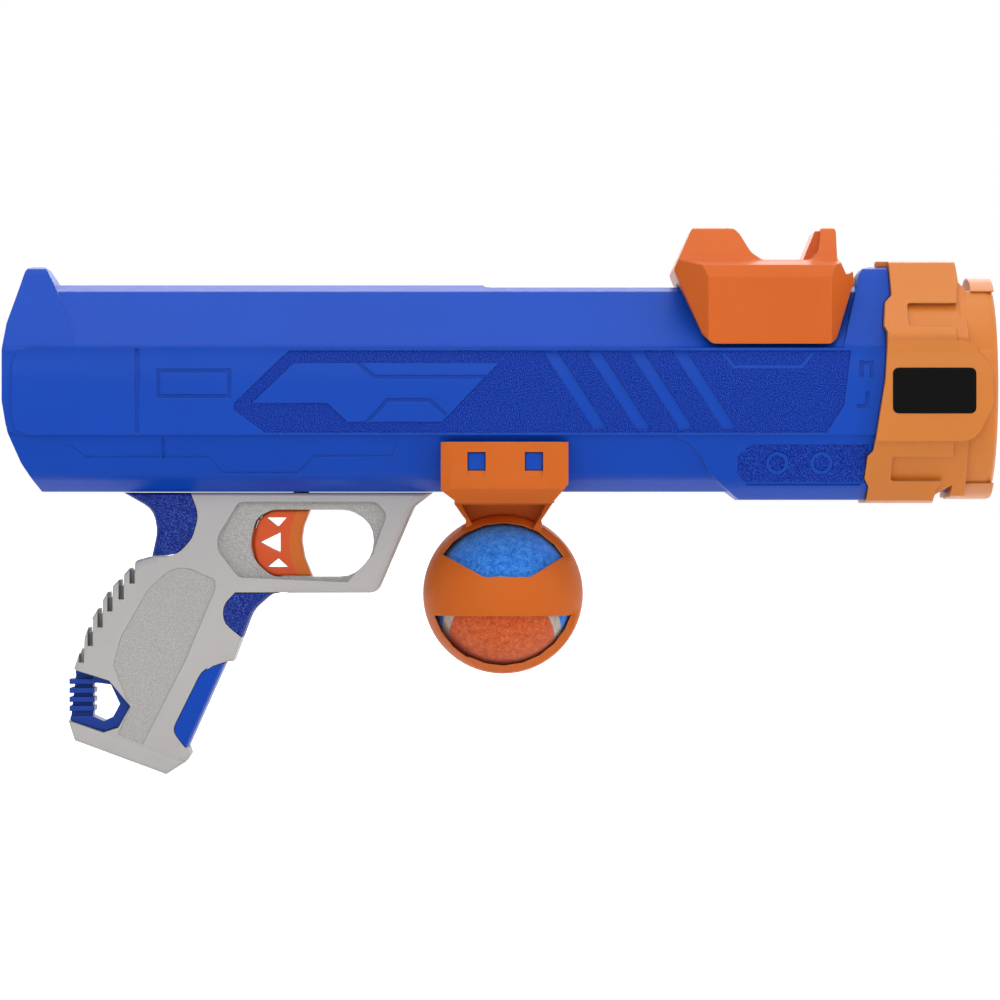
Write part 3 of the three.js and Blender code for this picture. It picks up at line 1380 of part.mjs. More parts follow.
// Two windows on the closed side of the cage.
function cageWindows() {
  const far = cageRadius + overrun;
  const left = ballX - cageRadius;
  const round = alongY(circle(cageWindowRadius, ballX + windowShift, -ballDrop), -far, 0, ballSides / 2);
  const width = 2 * cageRadius;
  const top = cageRadius - ballDrop;
  const upper = alongY(outline(inBox(upperWindowShares, left, top, width, width)), -far, 0);
  const lowerTop = top - lowerWindowFootShare * width;
  const lower = alongY(box(left, -ballDrop - far, left + width, lowerTop), -far, 0);
  return [round.intersect(upper), round.intersect(lower)];
}

// The finished model: one named mesh for each piece.
const launcher = new THREE.Group();
launcher.position.z = axisHeight;

function add(name, solid, [color, roughness, metalness = 0]) {
  const mesh = solid.getMesh();
  const geometry = new THREE.BufferGeometry();
  geometry.setAttribute("position", new THREE.BufferAttribute(mesh.vertProperties, 3));
  geometry.setIndex(new THREE.BufferAttribute(mesh.triVerts, 1));
  geometry.computeVertexNormals();
  const material = new THREE.MeshStandardMaterial({ color, roughness, metalness, flatShading: true });
  const piece = new THREE.Mesh(geometry, material);
  piece.name = name;
  launcher.add(piece);
}

const [rightShell, leftShell] = bodyShells();
add("right_shell", rightShell, blue);
add("left_shell", leftShell, blue);
shellScrewPlaces().forEach((place, i) => add("shell_screw_" + (i + 1), screw(place), steel));
add("muzzle_cap", muzzleCap(), amber);
add("ball_retainer", ballRetainer(), black);
add("barrel_tube", barrelTube(), white);
add("air_cylinder", airCylinder(), white);
add("cylinder_rear_cap", cylinderRearCap(), white);
add("bumper_pad", bumperPad(), black);
add("piston", piston(), orange);
add("piston_ring", pistonRing(), black);
add("plunger_rod", plungerRod(), orange);
add("main_spring", mainSpring(), steel);
add("draw_bar", drawBar(), white);
add("cocking_slide", cockingSlide(), orange);
slideScrewPlaces().forEach((x, i) => add("slide_screw_" + (i + 1), slideScrew(x), steel));
const form = gripForm();
const [gripRight, gripLeftHalf] = gripHalves(form);
add("grip_right", gripRight, grey);
add("grip_left", gripLeftHalf, grey);
add("grip_back_insert", gripInsert(form, backInsertShares), darkBlue);
add("grip_upper_insert", gripInsert(form, upperInsertShares), darkBlue);
add("grip_lower_insert", gripInsert(form, lowerInsertShares), blue);
gripScrewPlaces().forEach((place, i) => add("grip_screw_" + (i + 1), screw(place), steel));
add("lanyard_loop", lanyardLoop(), blue);
add("trigger", trigger(), red);
add("trigger_spring", triggerSpring(), steel);
add("catch", catchPiece(), white);
add("catch_spring", catchSpring(), steel);
add("ball_clip", ballClip(), orange);
add("ball", sphere(ballDiameter / 2), felt);

export default launcher;
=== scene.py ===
"""Looks for a hand-cocked ball launcher: moulded shells, grip, saddle and clip, and a felt ball."""
import math

import bmesh
import bpy
from mathutils import Matrix, Vector, noise


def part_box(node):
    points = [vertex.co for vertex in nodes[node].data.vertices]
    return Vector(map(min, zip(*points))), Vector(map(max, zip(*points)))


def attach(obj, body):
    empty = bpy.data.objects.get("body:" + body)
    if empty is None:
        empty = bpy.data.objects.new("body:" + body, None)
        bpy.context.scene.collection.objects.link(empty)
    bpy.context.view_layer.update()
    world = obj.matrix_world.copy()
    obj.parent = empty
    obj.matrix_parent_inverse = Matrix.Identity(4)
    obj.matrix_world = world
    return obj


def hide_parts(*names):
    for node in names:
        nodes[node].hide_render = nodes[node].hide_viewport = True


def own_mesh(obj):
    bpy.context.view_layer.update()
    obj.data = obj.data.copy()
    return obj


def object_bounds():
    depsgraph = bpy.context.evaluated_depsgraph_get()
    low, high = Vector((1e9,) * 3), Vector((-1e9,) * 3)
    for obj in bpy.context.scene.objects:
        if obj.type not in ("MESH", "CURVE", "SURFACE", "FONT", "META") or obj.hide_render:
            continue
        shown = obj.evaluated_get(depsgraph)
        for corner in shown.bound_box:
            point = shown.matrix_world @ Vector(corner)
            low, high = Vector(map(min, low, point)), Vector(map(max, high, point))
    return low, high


MM = 0.001
AXIS = 116.7 * MM  # barrel axis over the origin
WELD = 0.01 * MM
FLAT_TURN = math.radians(1)
LEAST_TURN = math.radians(22)  # edges that turn less stay as they are
NEAR = 0.12 * MM  # how far a point or face may be from the plane it is looked for on
MOST_CORNERS = 100  # of a face
CREASE = 34  # degrees
ROOF_CREASE = 24
PLATE_CREASE = 30
WIRE_CREASE = 50

# Radii of the moulded edges
PLAIN_EDGE = 0.5 * MM
SHELL_EDGE = 0.45 * MM
GRIP_EDGE = 0.4 * MM
LOOP_EDGE = 0.25 * MM
SADDLE_EDGE = 0.7 * MM
RETAINER_EDGE = 0.25 * MM
CLIP_EDGE = 0.4 * MM
TRIGGER_EDGE = 0.3 * MM
CAP_EDGE = 0.7 * MM

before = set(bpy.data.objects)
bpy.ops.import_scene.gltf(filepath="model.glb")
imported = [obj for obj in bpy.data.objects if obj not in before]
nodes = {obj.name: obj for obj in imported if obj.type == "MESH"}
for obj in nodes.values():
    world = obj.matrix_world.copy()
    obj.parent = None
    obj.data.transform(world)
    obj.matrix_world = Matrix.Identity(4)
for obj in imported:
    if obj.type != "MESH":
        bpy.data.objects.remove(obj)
cad_box = [list(corner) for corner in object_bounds()]
scene = bpy.context.scene


# Mesh helpers

def object_from(bm, name, materials=()):
    """The finished mesh as an object at the origin."""
    mesh = bpy.data.meshes.new(name)
    bm.to_mesh(mesh)
    bm.free()
    piece = bpy.data.objects.new(name, mesh)
    for material in materials:
        mesh.materials.append(material)
    scene.collection.objects.link(piece)
    return piece


def smooth_by_angle(piece, degrees=CREASE):
    """Smooth shading with sharp edges past an angle, weighted to the large faces."""
    piece.data.shade_smooth()
    piece.data.set_sharp_from_angle(angle=math.radians(degrees))
    weighted = piece.modifiers.new("weighted", "WEIGHTED_NORMAL")
    weighted.keep_sharp = True
    weighted.weight = 60


def solid_copy(node):
    """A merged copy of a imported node, with its flat faces whole again."""
    bm = bmesh.new()
    bm.from_mesh(nodes[node].data)
    bmesh.ops.remove_doubles(bm, verts=bm.verts, dist=WELD)
    bmesh.ops.dissolve_limit(
        bm, angle_limit=FLAT_TURN, use_dissolve_boundaries=False, verts=bm.verts, edges=bm.edges,
        delimit=set(),
    )
    return bm


def round_edges(bm, radius, segments):
    """Small radii along the moulded edges."""
    edges = [
        edge for edge in bm.edges
        if len(edge.link_faces) == 2 and edge.calc_face_angle(0) > LEAST_TURN
    ]
    bmesh.ops.bevel(
        bm, geom=edges, offset=radius, offset_type="OFFSET", affect="EDGES", segments=segments,
        profile=0.5, clamp_overlap=True, material=-1,
    )


def sort_by_points(bm):
    """Edges and faces in the order of their points, after operators that leave another order each run."""
    bm.verts.index_update()
    count = len(bm.verts)

    def rank(item):
        numbers = [vert.index for vert in item.verts]
        return (min(numbers) * count + max(numbers)) * count * MOST_CORNERS + sum(numbers)
    bm.edges.sort(key=rank)
    bm.faces.sort(key=rank)


def moulded(name, node, body, materials, radius=PLAIN_EDGE, before=None, after=None, segments=2,
            crease=CREASE):
    """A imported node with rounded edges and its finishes, in that node's place.

    The functions given as before and after work on the mesh before and after its edges are rounded.
    """
    bm = solid_copy(node)
    if before:
        before(bm)
    round_edges(bm, radius, segments)
    if after:
        after(bm)
    piece = object_from(bm, name, materials)
    smooth_by_angle(piece, crease)
    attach(piece, body)
    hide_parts(node)
    return piece


# Colour and shader helpers

def shade(red, green, blue):
    """A colour given as it shows on a screen, from 0 to 255."""
    def channel(value):
        share = value / 255
        return share / 12.92 if share <= 0.04045 else ((share + 0.055) / 1.055) ** 2.4
    return (channel(red), channel(green), channel(blue), 1)


def put(tree, kind, settings=None, **inputs):
    """A new node with its settings, and its inputs set or linked by name."""
    node = tree.nodes.new("ShaderNode" + kind)
    for key, value in (settings or {}).items():
        setattr(node, key, value)
    for key, value in inputs.items():
        socket = node.inputs[int(key[1:])] if key[0] == "_" else node.inputs[key.replace("_", " ")]
        if isinstance(value, bpy.types.NodeSocket):
            tree.links.new(value, socket)
        else:
            socket.default_value = value
    return node


def maths(tree, operation, first, second=0.0, third=0.0):
    return put(tree, "Math", {"operation": operation}, _0=first, _1=second, _2=third).outputs[0]


def blend_colour(tree, share, first, second):
    node = put(tree, "Mix", {"data_type": "RGBA"})
    for socket, value in ((node.inputs[0], share), (node.inputs[6], first), (node.inputs[7], second)):
        if isinstance(value, bpy.types.NodeSocket):
            tree.links.new(value, socket)
        else:
            socket.default_value = value
    return node.outputs[2]


def ranged(tree, value, low, high, to_low, to_high):
    node = put(tree, "MapRange", None, Value=value)
    for key, number in (("From Min", low), ("From Max", high), ("To Min", to_low), ("To Max", to_high)):
        node.inputs[key].default_value = number
    return node.outputs["Result"]


def new_group(name, inputs, outputs):
    """A shader group with named sockets: {name: (kind, value)}."""
    tree = bpy.data.node_groups.new(name, "ShaderNodeTree")
    for label, (kind, value) in inputs.items():
        socket = tree.interface.new_socket(name=label, in_out="INPUT", socket_type="NodeSocket" + kind)
        socket.default_value = value
    for label, kind in outputs.items():
        tree.interface.new_socket(name=label, in_out="OUTPUT", socket_type="NodeSocket" + kind)
    entry = tree.nodes.new("NodeGroupInput")
    leave = tree.nodes.new("NodeGroupOutput")
    return tree, entry.outputs, leave.inputs


def moulded_group():
    """Moulded plastic: faint flow variation, fine orange peel and paler edges, partly rubbed wear and partly
    a painted highlight.
    """
    tree, given, made = new_group(
        "moulded_plastic",
        {
            "Color": ("Color", (0.5, 0.5, 0.5, 1)), "Worn Highlit Edge Tint": ("Color", (0.8, 0.8, 0.8, 1)),
            "Worn Highlit Edge Share": ("Float", 0.3), "Roughness": ("Float", 0.35), "Peel": ("Float", 0.05),
            "Edge Radius": ("Float", 0.8 * MM),
        },
        {"Color": "Color", "Roughness": "Float", "Normal": "Vector"},
    )
    place = put(tree, "TexCoord").outputs["Object"]
    flow = put(tree, "TexNoise", None, Vector=place, Scale=22.0, Detail=4.0).outputs["Fac"]
    fine = put(tree, "TexNoise", None, Vector=place, Scale=520.0, Detail=3.0).outputs["Fac"]
    rub = put(tree, "TexNoise", None, Vector=place, Scale=160.0, Detail=5.0).outputs["Fac"]
    tone = ranged(tree, flow, 0.3, 0.7, 0.96, 1.04)
    toned = put(tree, "HueSaturation", None, Color=given["Color"], Value=tone).outputs[0]
    soft = put(tree, "Bevel", {"samples": 4}, Radius=given["Edge Radius"]).outputs["Normal"]
    hard = put(tree, "NewGeometry").outputs["Normal"]
    along = put(tree, "VectorMath", {"operation": "DOT_PRODUCT"}, _0=soft, _1=hard).outputs["Value"]
    # edge mask: where the bevel normal turns away, the colour goes paler, partly rubbed wear and partly a
    # painted highlight
    edge = ranged(tree, along, 0.995, 0.9, 0, 1)
    worn_highlit_edge = maths(tree, "MULTIPLY", edge, ranged(tree, rub, 0.35, 0.65, 0.5, 1))
    share = maths(tree, "MULTIPLY", worn_highlit_edge, given["Worn Highlit Edge Share"])
    tree.links.new(blend_colour(tree, share, toned, given["Worn Highlit Edge Tint"]), made["Color"])
    spread = ranged(tree, rub, 0.3, 0.7, -0.015, 0.02)
    tree.links.new(maths(tree, "ADD", given["Roughness"], spread), made["Roughness"])
    bump = put(tree, "Bump", None, Strength=given["Peel"], Distance=0.2 * MM, Height=fine, Normal=soft)
    tree.links.new(bump.outputs["Normal"], made["Normal"])
    return tree


def spark_group():
    """Spark-eroded texture: close grains painted paler as glints that catch light one by one, and painted
    darker as shade in their pits.
    """
    tree, given, made = new_group(
        "spark_texture",
        {
            "Color": ("Color", (0.5, 0.5, 0.5, 1)), "Pit Shade Color": ("Color", (0.2, 0.2, 0.2, 1)),
            "Glint Color": ("Color", (0.8, 0.8, 0.8, 1)), "Grain": ("Float", 900.0),
            "Roughness": ("Float", 0.5), "Depth": ("Float", 0.4),
        },
        {"Color": "Color", "Roughness": "Float", "Normal": "Vector"},
    )
    place = put(tree, "TexCoord").outputs["Object"]
    grains = put(tree, "TexNoise", None, Vector=place, Scale=given["Grain"], Detail=2.0).outputs["Fac"]
    # painted shade in the pits and painted glints on the grains
    pit_shade = ranged(tree, grains, 0.49, 0.36, 0, 1)
    glints = ranged(tree, grains, 0.52, 0.65, 0, 1)
    dark = blend_colour(tree, pit_shade, given["Color"], given["Pit Shade Color"])
    tree.links.new(blend_colour(tree, glints, dark, given["Glint Color"]), made["Color"])
    tree.links.new(given["Roughness"], made["Roughness"])
    soft = put(tree, "Bevel", {"samples": 4}, Radius=0.5 * MM).outputs["Normal"]
    bump = put(tree, "Bump", None, Strength=given["Depth"], Distance=0.3 * MM, Height=grains, Normal=soft)
    tree.links.new(bump.outputs["Normal"], made["Normal"])
    return tree


def felt_group():
    """Brushed felt: matted fibres, with tufts that stand paler."""
    tree, given, made = new_group(
        "felt_fibre",
        {
            "Color": ("Color", (0.5, 0.5, 0.5, 1)), "Tuft Color": ("Color", (0.8, 0.8, 0.8, 1)),
            "Shadow Color": ("Color", (0.2, 0.2, 0.2, 1)),
        },
        {"Color": "Color", "Height": "Float"},
    )
    place = put(tree, "TexCoord").outputs["Object"]
    fibres = put(tree, "TexNoise", None, Vector=place, Scale=1500.0, Detail=3.0, Distortion=1.2)
    tufts = put(tree, "TexNoise", None, Vector=place, Scale=420.0, Detail=4.0).outputs["Fac"]
    height = maths(tree, "ADD", fibres.outputs["Fac"], maths(tree, "MULTIPLY", tufts, 0.6))
    sunk = ranged(tree, height, 0.78, 0.62, 0, 0.8)
    stands = ranged(tree, height, 0.82, 1.05, 0, 0.8)
    dark = blend_colour(tree, sunk, given["Color"], given["Shadow Color"])
    tree.links.new(blend_colour(tree, stands, dark, given["Tuft Color"]), made["Color"])
    tree.links.new(height, made["Height"])
    return tree


groups = {}


def effect_in(tree, group, values):
    """The named group in a material, with its own values."""
    makers = {"plastic": moulded_group, "spark": spark_group, "felt": felt_group}
    if group not in groups:
        groups[group] = makers[group]()
    effect = tree.nodes.new("ShaderNodeGroup")
    effect.node_tree = groups[group]
    for label, value in values.items():
        effect.inputs[label].default_value = value
    return effect.outputs


def finished(name, group, values, fixed):
    """A material whose colour, roughness and normal come from a group."""
    material = bpy.data.materials.new(name)
    material.use_nodes = True
    tree = material.node_tree
    surface = tree.nodes["Principled BSDF"]
    effect = effect_in(tree, group, values)
    for label, target in (("Color", "Base Color"), ("Roughness", "Roughness"), ("Normal", "Normal")):
        tree.links.new(effect[label], surface.inputs[target])
    for label, value in fixed.items():
        surface.inputs[label].default_value = value
    return material


# The edge colour is painted paler along the edges: partly rubbed wear, partly a painted highlight.
def plastic(name, colour, edge, roughness, edge_wear_and_highlight=0.3, peel=0.05, gloss=0.2, soft=0.8 * MM, **fixed):
    values = {
        "Color": colour, "Worn Highlit Edge Tint": edge, "Roughness": roughness, "Worn Highlit Edge Share": edge_wear_and_highlight, "Peel": peel,
        "Edge Radius": soft,
    }
    return finished(name, "plastic", values, {"Specular IOR Level": gloss, **fixed})


def spark(name, colour, pit_shade_colour, glint, grain=2200.0, roughness=0.5, depth=0.4, gloss=0.12):
    values = {
        "Color": colour, "Pit Shade Color": pit_shade_colour, "Glint Color": glint, "Grain": grain,
        "Roughness": roughness, "Depth": depth,
    }
    return finished(name, "spark", values, {"Specular IOR Level": gloss})


def crowned(material, start, top, drop):
    """The surface rolls back between two heights, ever faster towards the top."""
    tree = material.node_tree
    normal = tree.nodes["Principled BSDF"].inputs["Normal"]
    made = normal.links[0].from_socket
    height = put(tree, "SeparateXYZ", None, Vector=put(tree, "TexCoord").outputs["Object"]).outputs["Z"]
    fall = maths(tree, "POWER", ranged(tree, height, start, top, 0, 1), 4.0)
    bump = put(tree, "Bump", {"invert": True}, Strength=1.0, Distance=drop, Height=fall, Normal=made)
    tree.links.new(bump.outputs["Normal"], normal)


# Camera, stage and light

CAMERA_PLACE = (147.9 * MM, -2300 * MM, 66 * MM)
CAMERA_LENS = 182
CAMERA_SENSOR = 36
CAMERA_REACH = 100  # metres


def make_camera():
    camera = bpy.data.cameras.new("photo_camera")
    camera.lens = CAMERA_LENS
    camera.sensor_width = CAMERA_SENSOR
    camera.clip_end = CAMERA_REACH
    holder = bpy.data.objects.new("photo_camera", camera)
    holder.location = CAMERA_PLACE
    holder.rotation_euler = (math.pi / 2, 0, 0)
    scene.collection.objects.link(holder)
    scene.camera = holder


def soft_box(name, place, aim, width, height, power):
    light = bpy.data.lights.new(name, "AREA")
    light.shape = "RECTANGLE"
    light.size = width
    light.size_y = height
    light.energy = power
    holder = bpy.data.objects.new(name, light)
    holder.location = place
    holder.rotation_euler = (Vector(aim) - Vector(place)).to_track_quat("-Z", "Y").to_euler()
    scene.collection.objects.link(holder)


def seen_or_lit(tree, seen, lit):
    """One value for what the camera and reflections see, and another for the light it gives."""
    path = put(tree, "LightPath").outputs
    shown = maths(tree, "MAXIMUM", path["Is Camera Ray"], path["Is Transmission Ray"])
    shown = maths(tree, "MAXIMUM", shown, path["Is Glossy Ray"])
    light = maths(tree, "MULTIPLY", maths(tree, "SUBTRACT", 1.0, shown), lit)
    return maths(tree, "MULTIPLY_ADD", shown, seen, light)


WORLD_LIGHT = 0.4


def make_world():
    world = bpy.data.worlds.new("studio")
    world.use_nodes = True
    background = world.node_tree.nodes["Background"]
    background.inputs["Color"].default_value = (1, 1, 1, 1)
    level = seen_or_lit(world.node_tree, 1.0, WORLD_LIGHT)
    world.node_tree.links.new(level, background.inputs["Strength"])
    scene.world = world


CLIP_ROOM = 18 * MM  # over the floor, for the clip to come off
FLOOR_HALF = 40  # metres
FLOOR_GLOW = 0.42  # what the camera sees of it under the object, white further out
GLOW_FROM = 0.4
GLOW_TO = 3.0


def make_stage():
    bm = bmesh.new()
    bmesh.ops.create_grid(bm, x_segments=1, y_segments=1, size=FLOOR_HALF)
    bmesh.ops.translate(bm, verts=bm.verts, vec=(0, 0, cad_box[0][2] - CLIP_ROOM))
    floor = object_from(bm, "studio_floor")
    material = bpy.data.materials.new("studio_floor")
    material.use_nodes = True
    tree = material.node_tree
    surface = tree.nodes["Principled BSDF"]
    surface.inputs["Base Color"].default_value = (0.9, 0.9, 0.9, 1)
    surface.inputs["Roughness"].default_value = 0.9
    surface.inputs["Emission Color"].default_value = (1, 1, 1, 1)
    place = put(tree, "TexCoord").outputs["Object"]
    away = put(tree, "VectorMath", {"operation": "LENGTH"}, _0=place).outputs["Value"]
    glow = ranged(tree, away, GLOW_FROM, GLOW_TO, FLOOR_GLOW, 1)
    tree.links.new(seen_or_lit(tree, glow, 0.0), surface.inputs["Emission Strength"])
    floor.data.materials.append(material)


def make_lights():
    soft_box("top_box", (0.15, -0.25, 1.5), (0.15, 0, 0.1), 1.6, 1.2, 11)
    soft_box("rim_box", (0.15, 0.95, 1.25), (0.15, 0, 0.15), 1.8, 0.3, 5)
    soft_box("front_box", (0.0, -1.9, 0.9), (0.15, 0, 0.08), 1.6, 1.2, 14)
    soft_box("rear_box", (0.3, 1.6, 0.8), (0.15, 0, 0.1), 1.4, 0.9, 8)
    soft_box("muzzle_box", (1.5, -0.6, 0.6), (0.2, 0, 0.1), 0.9, 0.9, 5)


make_camera()
make_world()
make_stage()
make_lights()

BLUE = plastic("blue_shell", shade(4, 67, 176), shade(66, 114, 214), 0.4, 0.3, 0.01, gloss=0.14)
BLUE_SPARK = spark("blue_spark", shade(6, 48, 152), shade(2, 24, 104), shade(48, 88, 198), 2200.0, gloss=0.08)
BLUE_GRIP = spark("blue_grip_texture", shade(14, 40, 130), shade(4, 16, 80), shade(70, 96, 190), 2500.0)
BLUE_LOOP = plastic("blue_loop", shade(16, 60, 152), shade(60, 100, 180), 0.36, 0.25, soft=0.5 * MM)
ORANGE = plastic("orange_saddle", shade(204, 94, 22), shade(236, 158, 104), 0.33, soft=1.2 * MM)
AMBER = plastic("amber_cap", shade(203, 120, 50), shade(240, 188, 130), 0.35, soft=1.0 * MM)
# The clip's edges are painted paler more strongly: a painted highlight along its rims and windows, with some
# rubbed wear.
CLIP_ORANGE = plastic("orange_clip", shade(203, 100, 34), shade(236, 156, 96), 0.46, 0.5, gloss=0.1)
RED = plastic("red_trigger", shade(214, 84, 38), shade(236, 146, 106), 0.34)
GREY = plastic("grey_grip", shade(181, 178, 176), shade(215, 215, 212), 0.42, gloss=0.25)
GREY_SPARK = spark("grey_spark", shade(173, 170, 167), shade(154, 152, 148), shade(198, 197, 194), 2700.0,
                   0.55, 0.3)
INNER = plastic("inner_plastic", shade(214, 214, 208), shade(235, 235, 230), 0.45)
RUBBER = plastic("black_rubber", shade(20, 20, 21), shade(52, 52, 54), 0.62, 0.3, 0.2)
STEEL = plastic("zinc_steel", shade(190, 192, 196), shade(225, 226, 230), 0.3, 0.4, 0.05, soft=0.2 * MM,
                Metallic=1.0)
PLATE = plastic("bare_black_plate", shade(8, 7, 7), shade(30, 29, 29), 0.4, 0.2, 0.03, gloss=0.05)

# Where the flank panels start to roll back, their tops, and how far they roll
PANEL_ROLL = (AXIS - 8 * MM, AXIS + 18.2 * MM, 3.6 * MM)
CAP_ROLL = (AXIS - 10 * MM, AXIS + 16.5 * MM, 2.6 * MM)

for material in (BLUE, BLUE_SPARK):
    crowned(material, *PANEL_ROLL)
crowned(AMBER, *CAP_ROLL)


# Body shells, with the spark texture in their fields

PANEL_FACE = 46.4 * MM
PANEL_FOOT = AXIS - 21.7 * MM
FIELD_DEPTH = 0.5 * MM
FACING = 0.95  # how squarely a face has to look to the side
KEEL_TOP = Vector((44.6 * MM, PANEL_FOOT))
KEEL_BEND = Vector((33.9 * MM, AXIS - 43.6 * MM))
KEEL_REAR = 255 * MM
KEEL_START = AXIS - 24 * MM
KEEL_DEPTHS = (-1.5 * MM, -0.35 * MM)
KEEL_FACING = 0.8


def paint_shell(bm):
    """The spark texture in the side panel's field and the keel's."""
    along = (KEEL_BEND - KEEL_TOP).normalized()
    outwards = Vector((-along.y, along.x))
    for face in bm.faces:
        centre = face.calc_center_median()
        side = abs(centre.y)
        flat = abs(face.normal.y) > FACING
        if flat and abs(side - (PANEL_FACE - FIELD_DEPTH)) < NEAR:
            face.material_index = 1
        if centre.x > KEEL_REAR and centre.z < KEEL_START:
            depth = (Vector((side, centre.z)) - KEEL_TOP).dot(outwards)
            leaning = Vector((abs(face.normal.y), face.normal.z)).dot(outwards)
            if KEEL_DEPTHS[0] < depth < KEEL_DEPTHS[1] and leaning > KEEL_FACING:
                face.material_index = 1


ROOF_REAR = -54 * MM
ROOF_TOP = AXIS + 47.05 * MM
ROOF_FOOT = AXIS + 41.9 * MM
ROOF_SIDE = 16.6 * MM
ROOF_BEND = 12.67 * MM
ROOF_DROP = 2.32 * MM  # at its bend
ROOF_FALL = 0.25
ROOF_RETURN = 0.416


def lower_roof(bm):
    """The roof falls gently from its middle to a crisp edge on each flank."""
    for vert in bm.verts:
        side = abs(vert.co.y)
        if vert.co.x > ROOF_REAR and ROOF_FOOT < vert.co.z < ROOF_TOP and side < ROOF_SIDE:
            vert.co.z -= min(ROOF_FALL * side, ROOF_DROP - ROOF_RETURN * (side - ROOF_BEND))


for side in ("right", "left"):
    moulded(side + "_shell_skin", side + "_shell", "launcher", [BLUE, BLUE_SPARK],
            SHELL_EDGE, before=paint_shell, after=lower_roof, crease=ROOF_CREASE)


# Grip halves, with the texture in the guard's recess and on the palm

PALM_FACE = 14.5 * MM
RECESS_FACE = 11.6 * MM


def paint_grip(bm):
    for face in bm.faces:
        side = abs(face.calc_center_median().y)
        near = min(abs(side - PALM_FACE), abs(side - RECESS_FACE))
        if abs(face.normal.y) > FACING and near < NEAR:
            face.material_index = 1


for side in ("right", "left"):
    moulded("grip_" + side + "_skin", "grip_" + side, "launcher", [GREY, GREY_SPARK],
            GRIP_EDGE, before=paint_grip)

moulded("back_insert_skin", "grip_back_insert", "launcher", [BLUE_GRIP])
moulded("upper_insert_skin", "grip_upper_insert", "launcher", [BLUE_GRIP])
moulded("lower_insert_skin", "grip_lower_insert", "launcher", [BLUE])
moulded("loop_skin", "lanyard_loop", "launcher", [BLUE_LOOP], LOOP_EDGE)
moulded("saddle_skin", "cocking_slide", "slide", [ORANGE], SADDLE_EDGE, segments=3)
moulded("retainer_skin", "ball_retainer", "launcher", [RUBBER], RETAINER_EDGE)


# Ball clip, with its cage's flats drawn out round

CAGE_CENTRE = Vector((149.25 * MM, 0, AXIS - 93.3 * MM))
CAGE_RADIUS = 36.4 * MM
CAGE_FLAT = 0.8 * MM
CAGE_SLACK = 0.02 * MM
CAGE_SIDE = 8.1 * MM


def from_cage(point):
    """The way out from the cage's centre, or from its axis past the middle, and how far the point is."""
    out = point - CAGE_CENTRE
    if out.y > 0:
        out.y = 0
    return out.normalized(), out.length


def on_cage(vert):
    """Whether a point lies on the cage's outer flats."""
    depth = CAGE_RADIUS - from_cage(vert.co)[1]
    return vert.co.y < CAGE_SIDE and abs(depth - CAGE_FLAT / 2) < CAGE_FLAT / 2 + CAGE_SLACK


WINDOW_SHIFT = 0.9 * MM
WINDOW_RADIUS = 33.1 * MM
WINDOW_SLACK = 0.6 * MM
WINDOW_SIDES = (-22 * MM, -3.5 * MM)
BALL_REACH = 33.05 * MM
RIM_LEAST = 32.15 * MM
RIM_GAP = 0.05 * MM


def close_windows(bm):
    """The windows' round rims drawn in until the ball's edge lies behind them."""
    for vert in bm.verts:
        out = vert.co - CAGE_CENTRE
        across = math.hypot(out.x - WINDOW_SHIFT, out.z)
        if WINDOW_SIDES[0] < out.y < WINDOW_SIDES[1] and abs(across - WINDOW_RADIUS) < WINDOW_SLACK:
            length = math.hypot(out.x, out.z)
            reach = max(RIM_LEAST, math.sqrt(BALL_REACH ** 2 - out.y ** 2) + RIM_GAP)
            if length > reach:
                vert.co.x = CAGE_CENTRE.x + out.x * reach / length
                vert.co.z = CAGE_CENTRE.z + out.z * reach / length


def is_flat(face):
    """Whether all of a face lies on the cage's outer flats."""
    return all(on_cage(vert) for vert in face.verts)


def round_cage(bm):
    """The cage's flats cut finer and drawn out to one round."""
    close_windows(bm)
    bmesh.ops.triangulate(bm, faces=[face for face in bm.faces if is_flat(face)])
    sort_by_points(bm)
    edges = [edge for edge in bm.edges if any(is_flat(face) for face in edge.link_faces)]
    bmesh.ops.subdivide_edges(bm, edges=edges, cuts=2, use_grid_fill=True)
    for vert in bm.verts:
        if on_cage(vert):
            out, length = from_cage(vert.co)
            vert.co += out * (CAGE_RADIUS - length)


moulded("clip_skin", "ball_clip", "clip", [CLIP_ORANGE], CLIP_EDGE, after=round_cage)


# Trigger, with the lighter band along its front

HOLLOW_CENTRE = (83.65 * MM, 0, AXIS - 69.8 * MM)
HOLLOW_RADIUS = 26.85 * MM
BAND_WIDTH = 4.3 * MM
BAND_BLUR = 0.2 * MM


def front_band(material, colour):
    """A lighter, more orange band painted along the trigger's hollow front."""
    tree = material.node_tree
    effect = next(node for node in tree.nodes if node.type == "GROUP")
    place = put(tree, "TexCoord").outputs["Object"]
    flat = put(tree, "VectorMath", {"operation": "MULTIPLY"}, _0=place, _1=(1, 0, 1)).outputs["Vector"]
    away = put(tree, "VectorMath", {"operation": "DISTANCE"}, _0=flat, _1=HOLLOW_CENTRE).outputs["Value"]
    edge = HOLLOW_RADIUS + BAND_WIDTH
    share = ranged(tree, away, edge + BAND_BLUR, edge, 0, 1)
    plain = effect.inputs["Color"].default_value[:]
    tree.links.new(blend_colour(tree, share, plain, colour), effect.inputs["Color"])


front_band(RED, shade(206, 104, 34))
moulded("trigger_skin", "trigger", "trigger", [RED], TRIGGER_EDGE)


# Muzzle cap, with a bare plate on its near panel

CAP_FACE = 52 * MM
PLATE_SINK = 0.2 * MM
PLATE_LONG = 37.1 * MM
PLATE_HIGH = 20.4 * MM
PLATE_CORNER = 2.6 * MM
PLATE_MIDDLE = (341.2 * MM, PLATE_SINK / 2 - CAP_FACE, AXIS - 2 * MM)


def sink_panel(bm):
    """Both flank panels a little lower, so that the plate lies within the cap's width."""
    for vert in bm.verts:
        if abs(vert.co.y) > CAP_FACE - NEAR / 2:
            vert.co.y -= math.copysign(PLATE_SINK, vert.co.y)


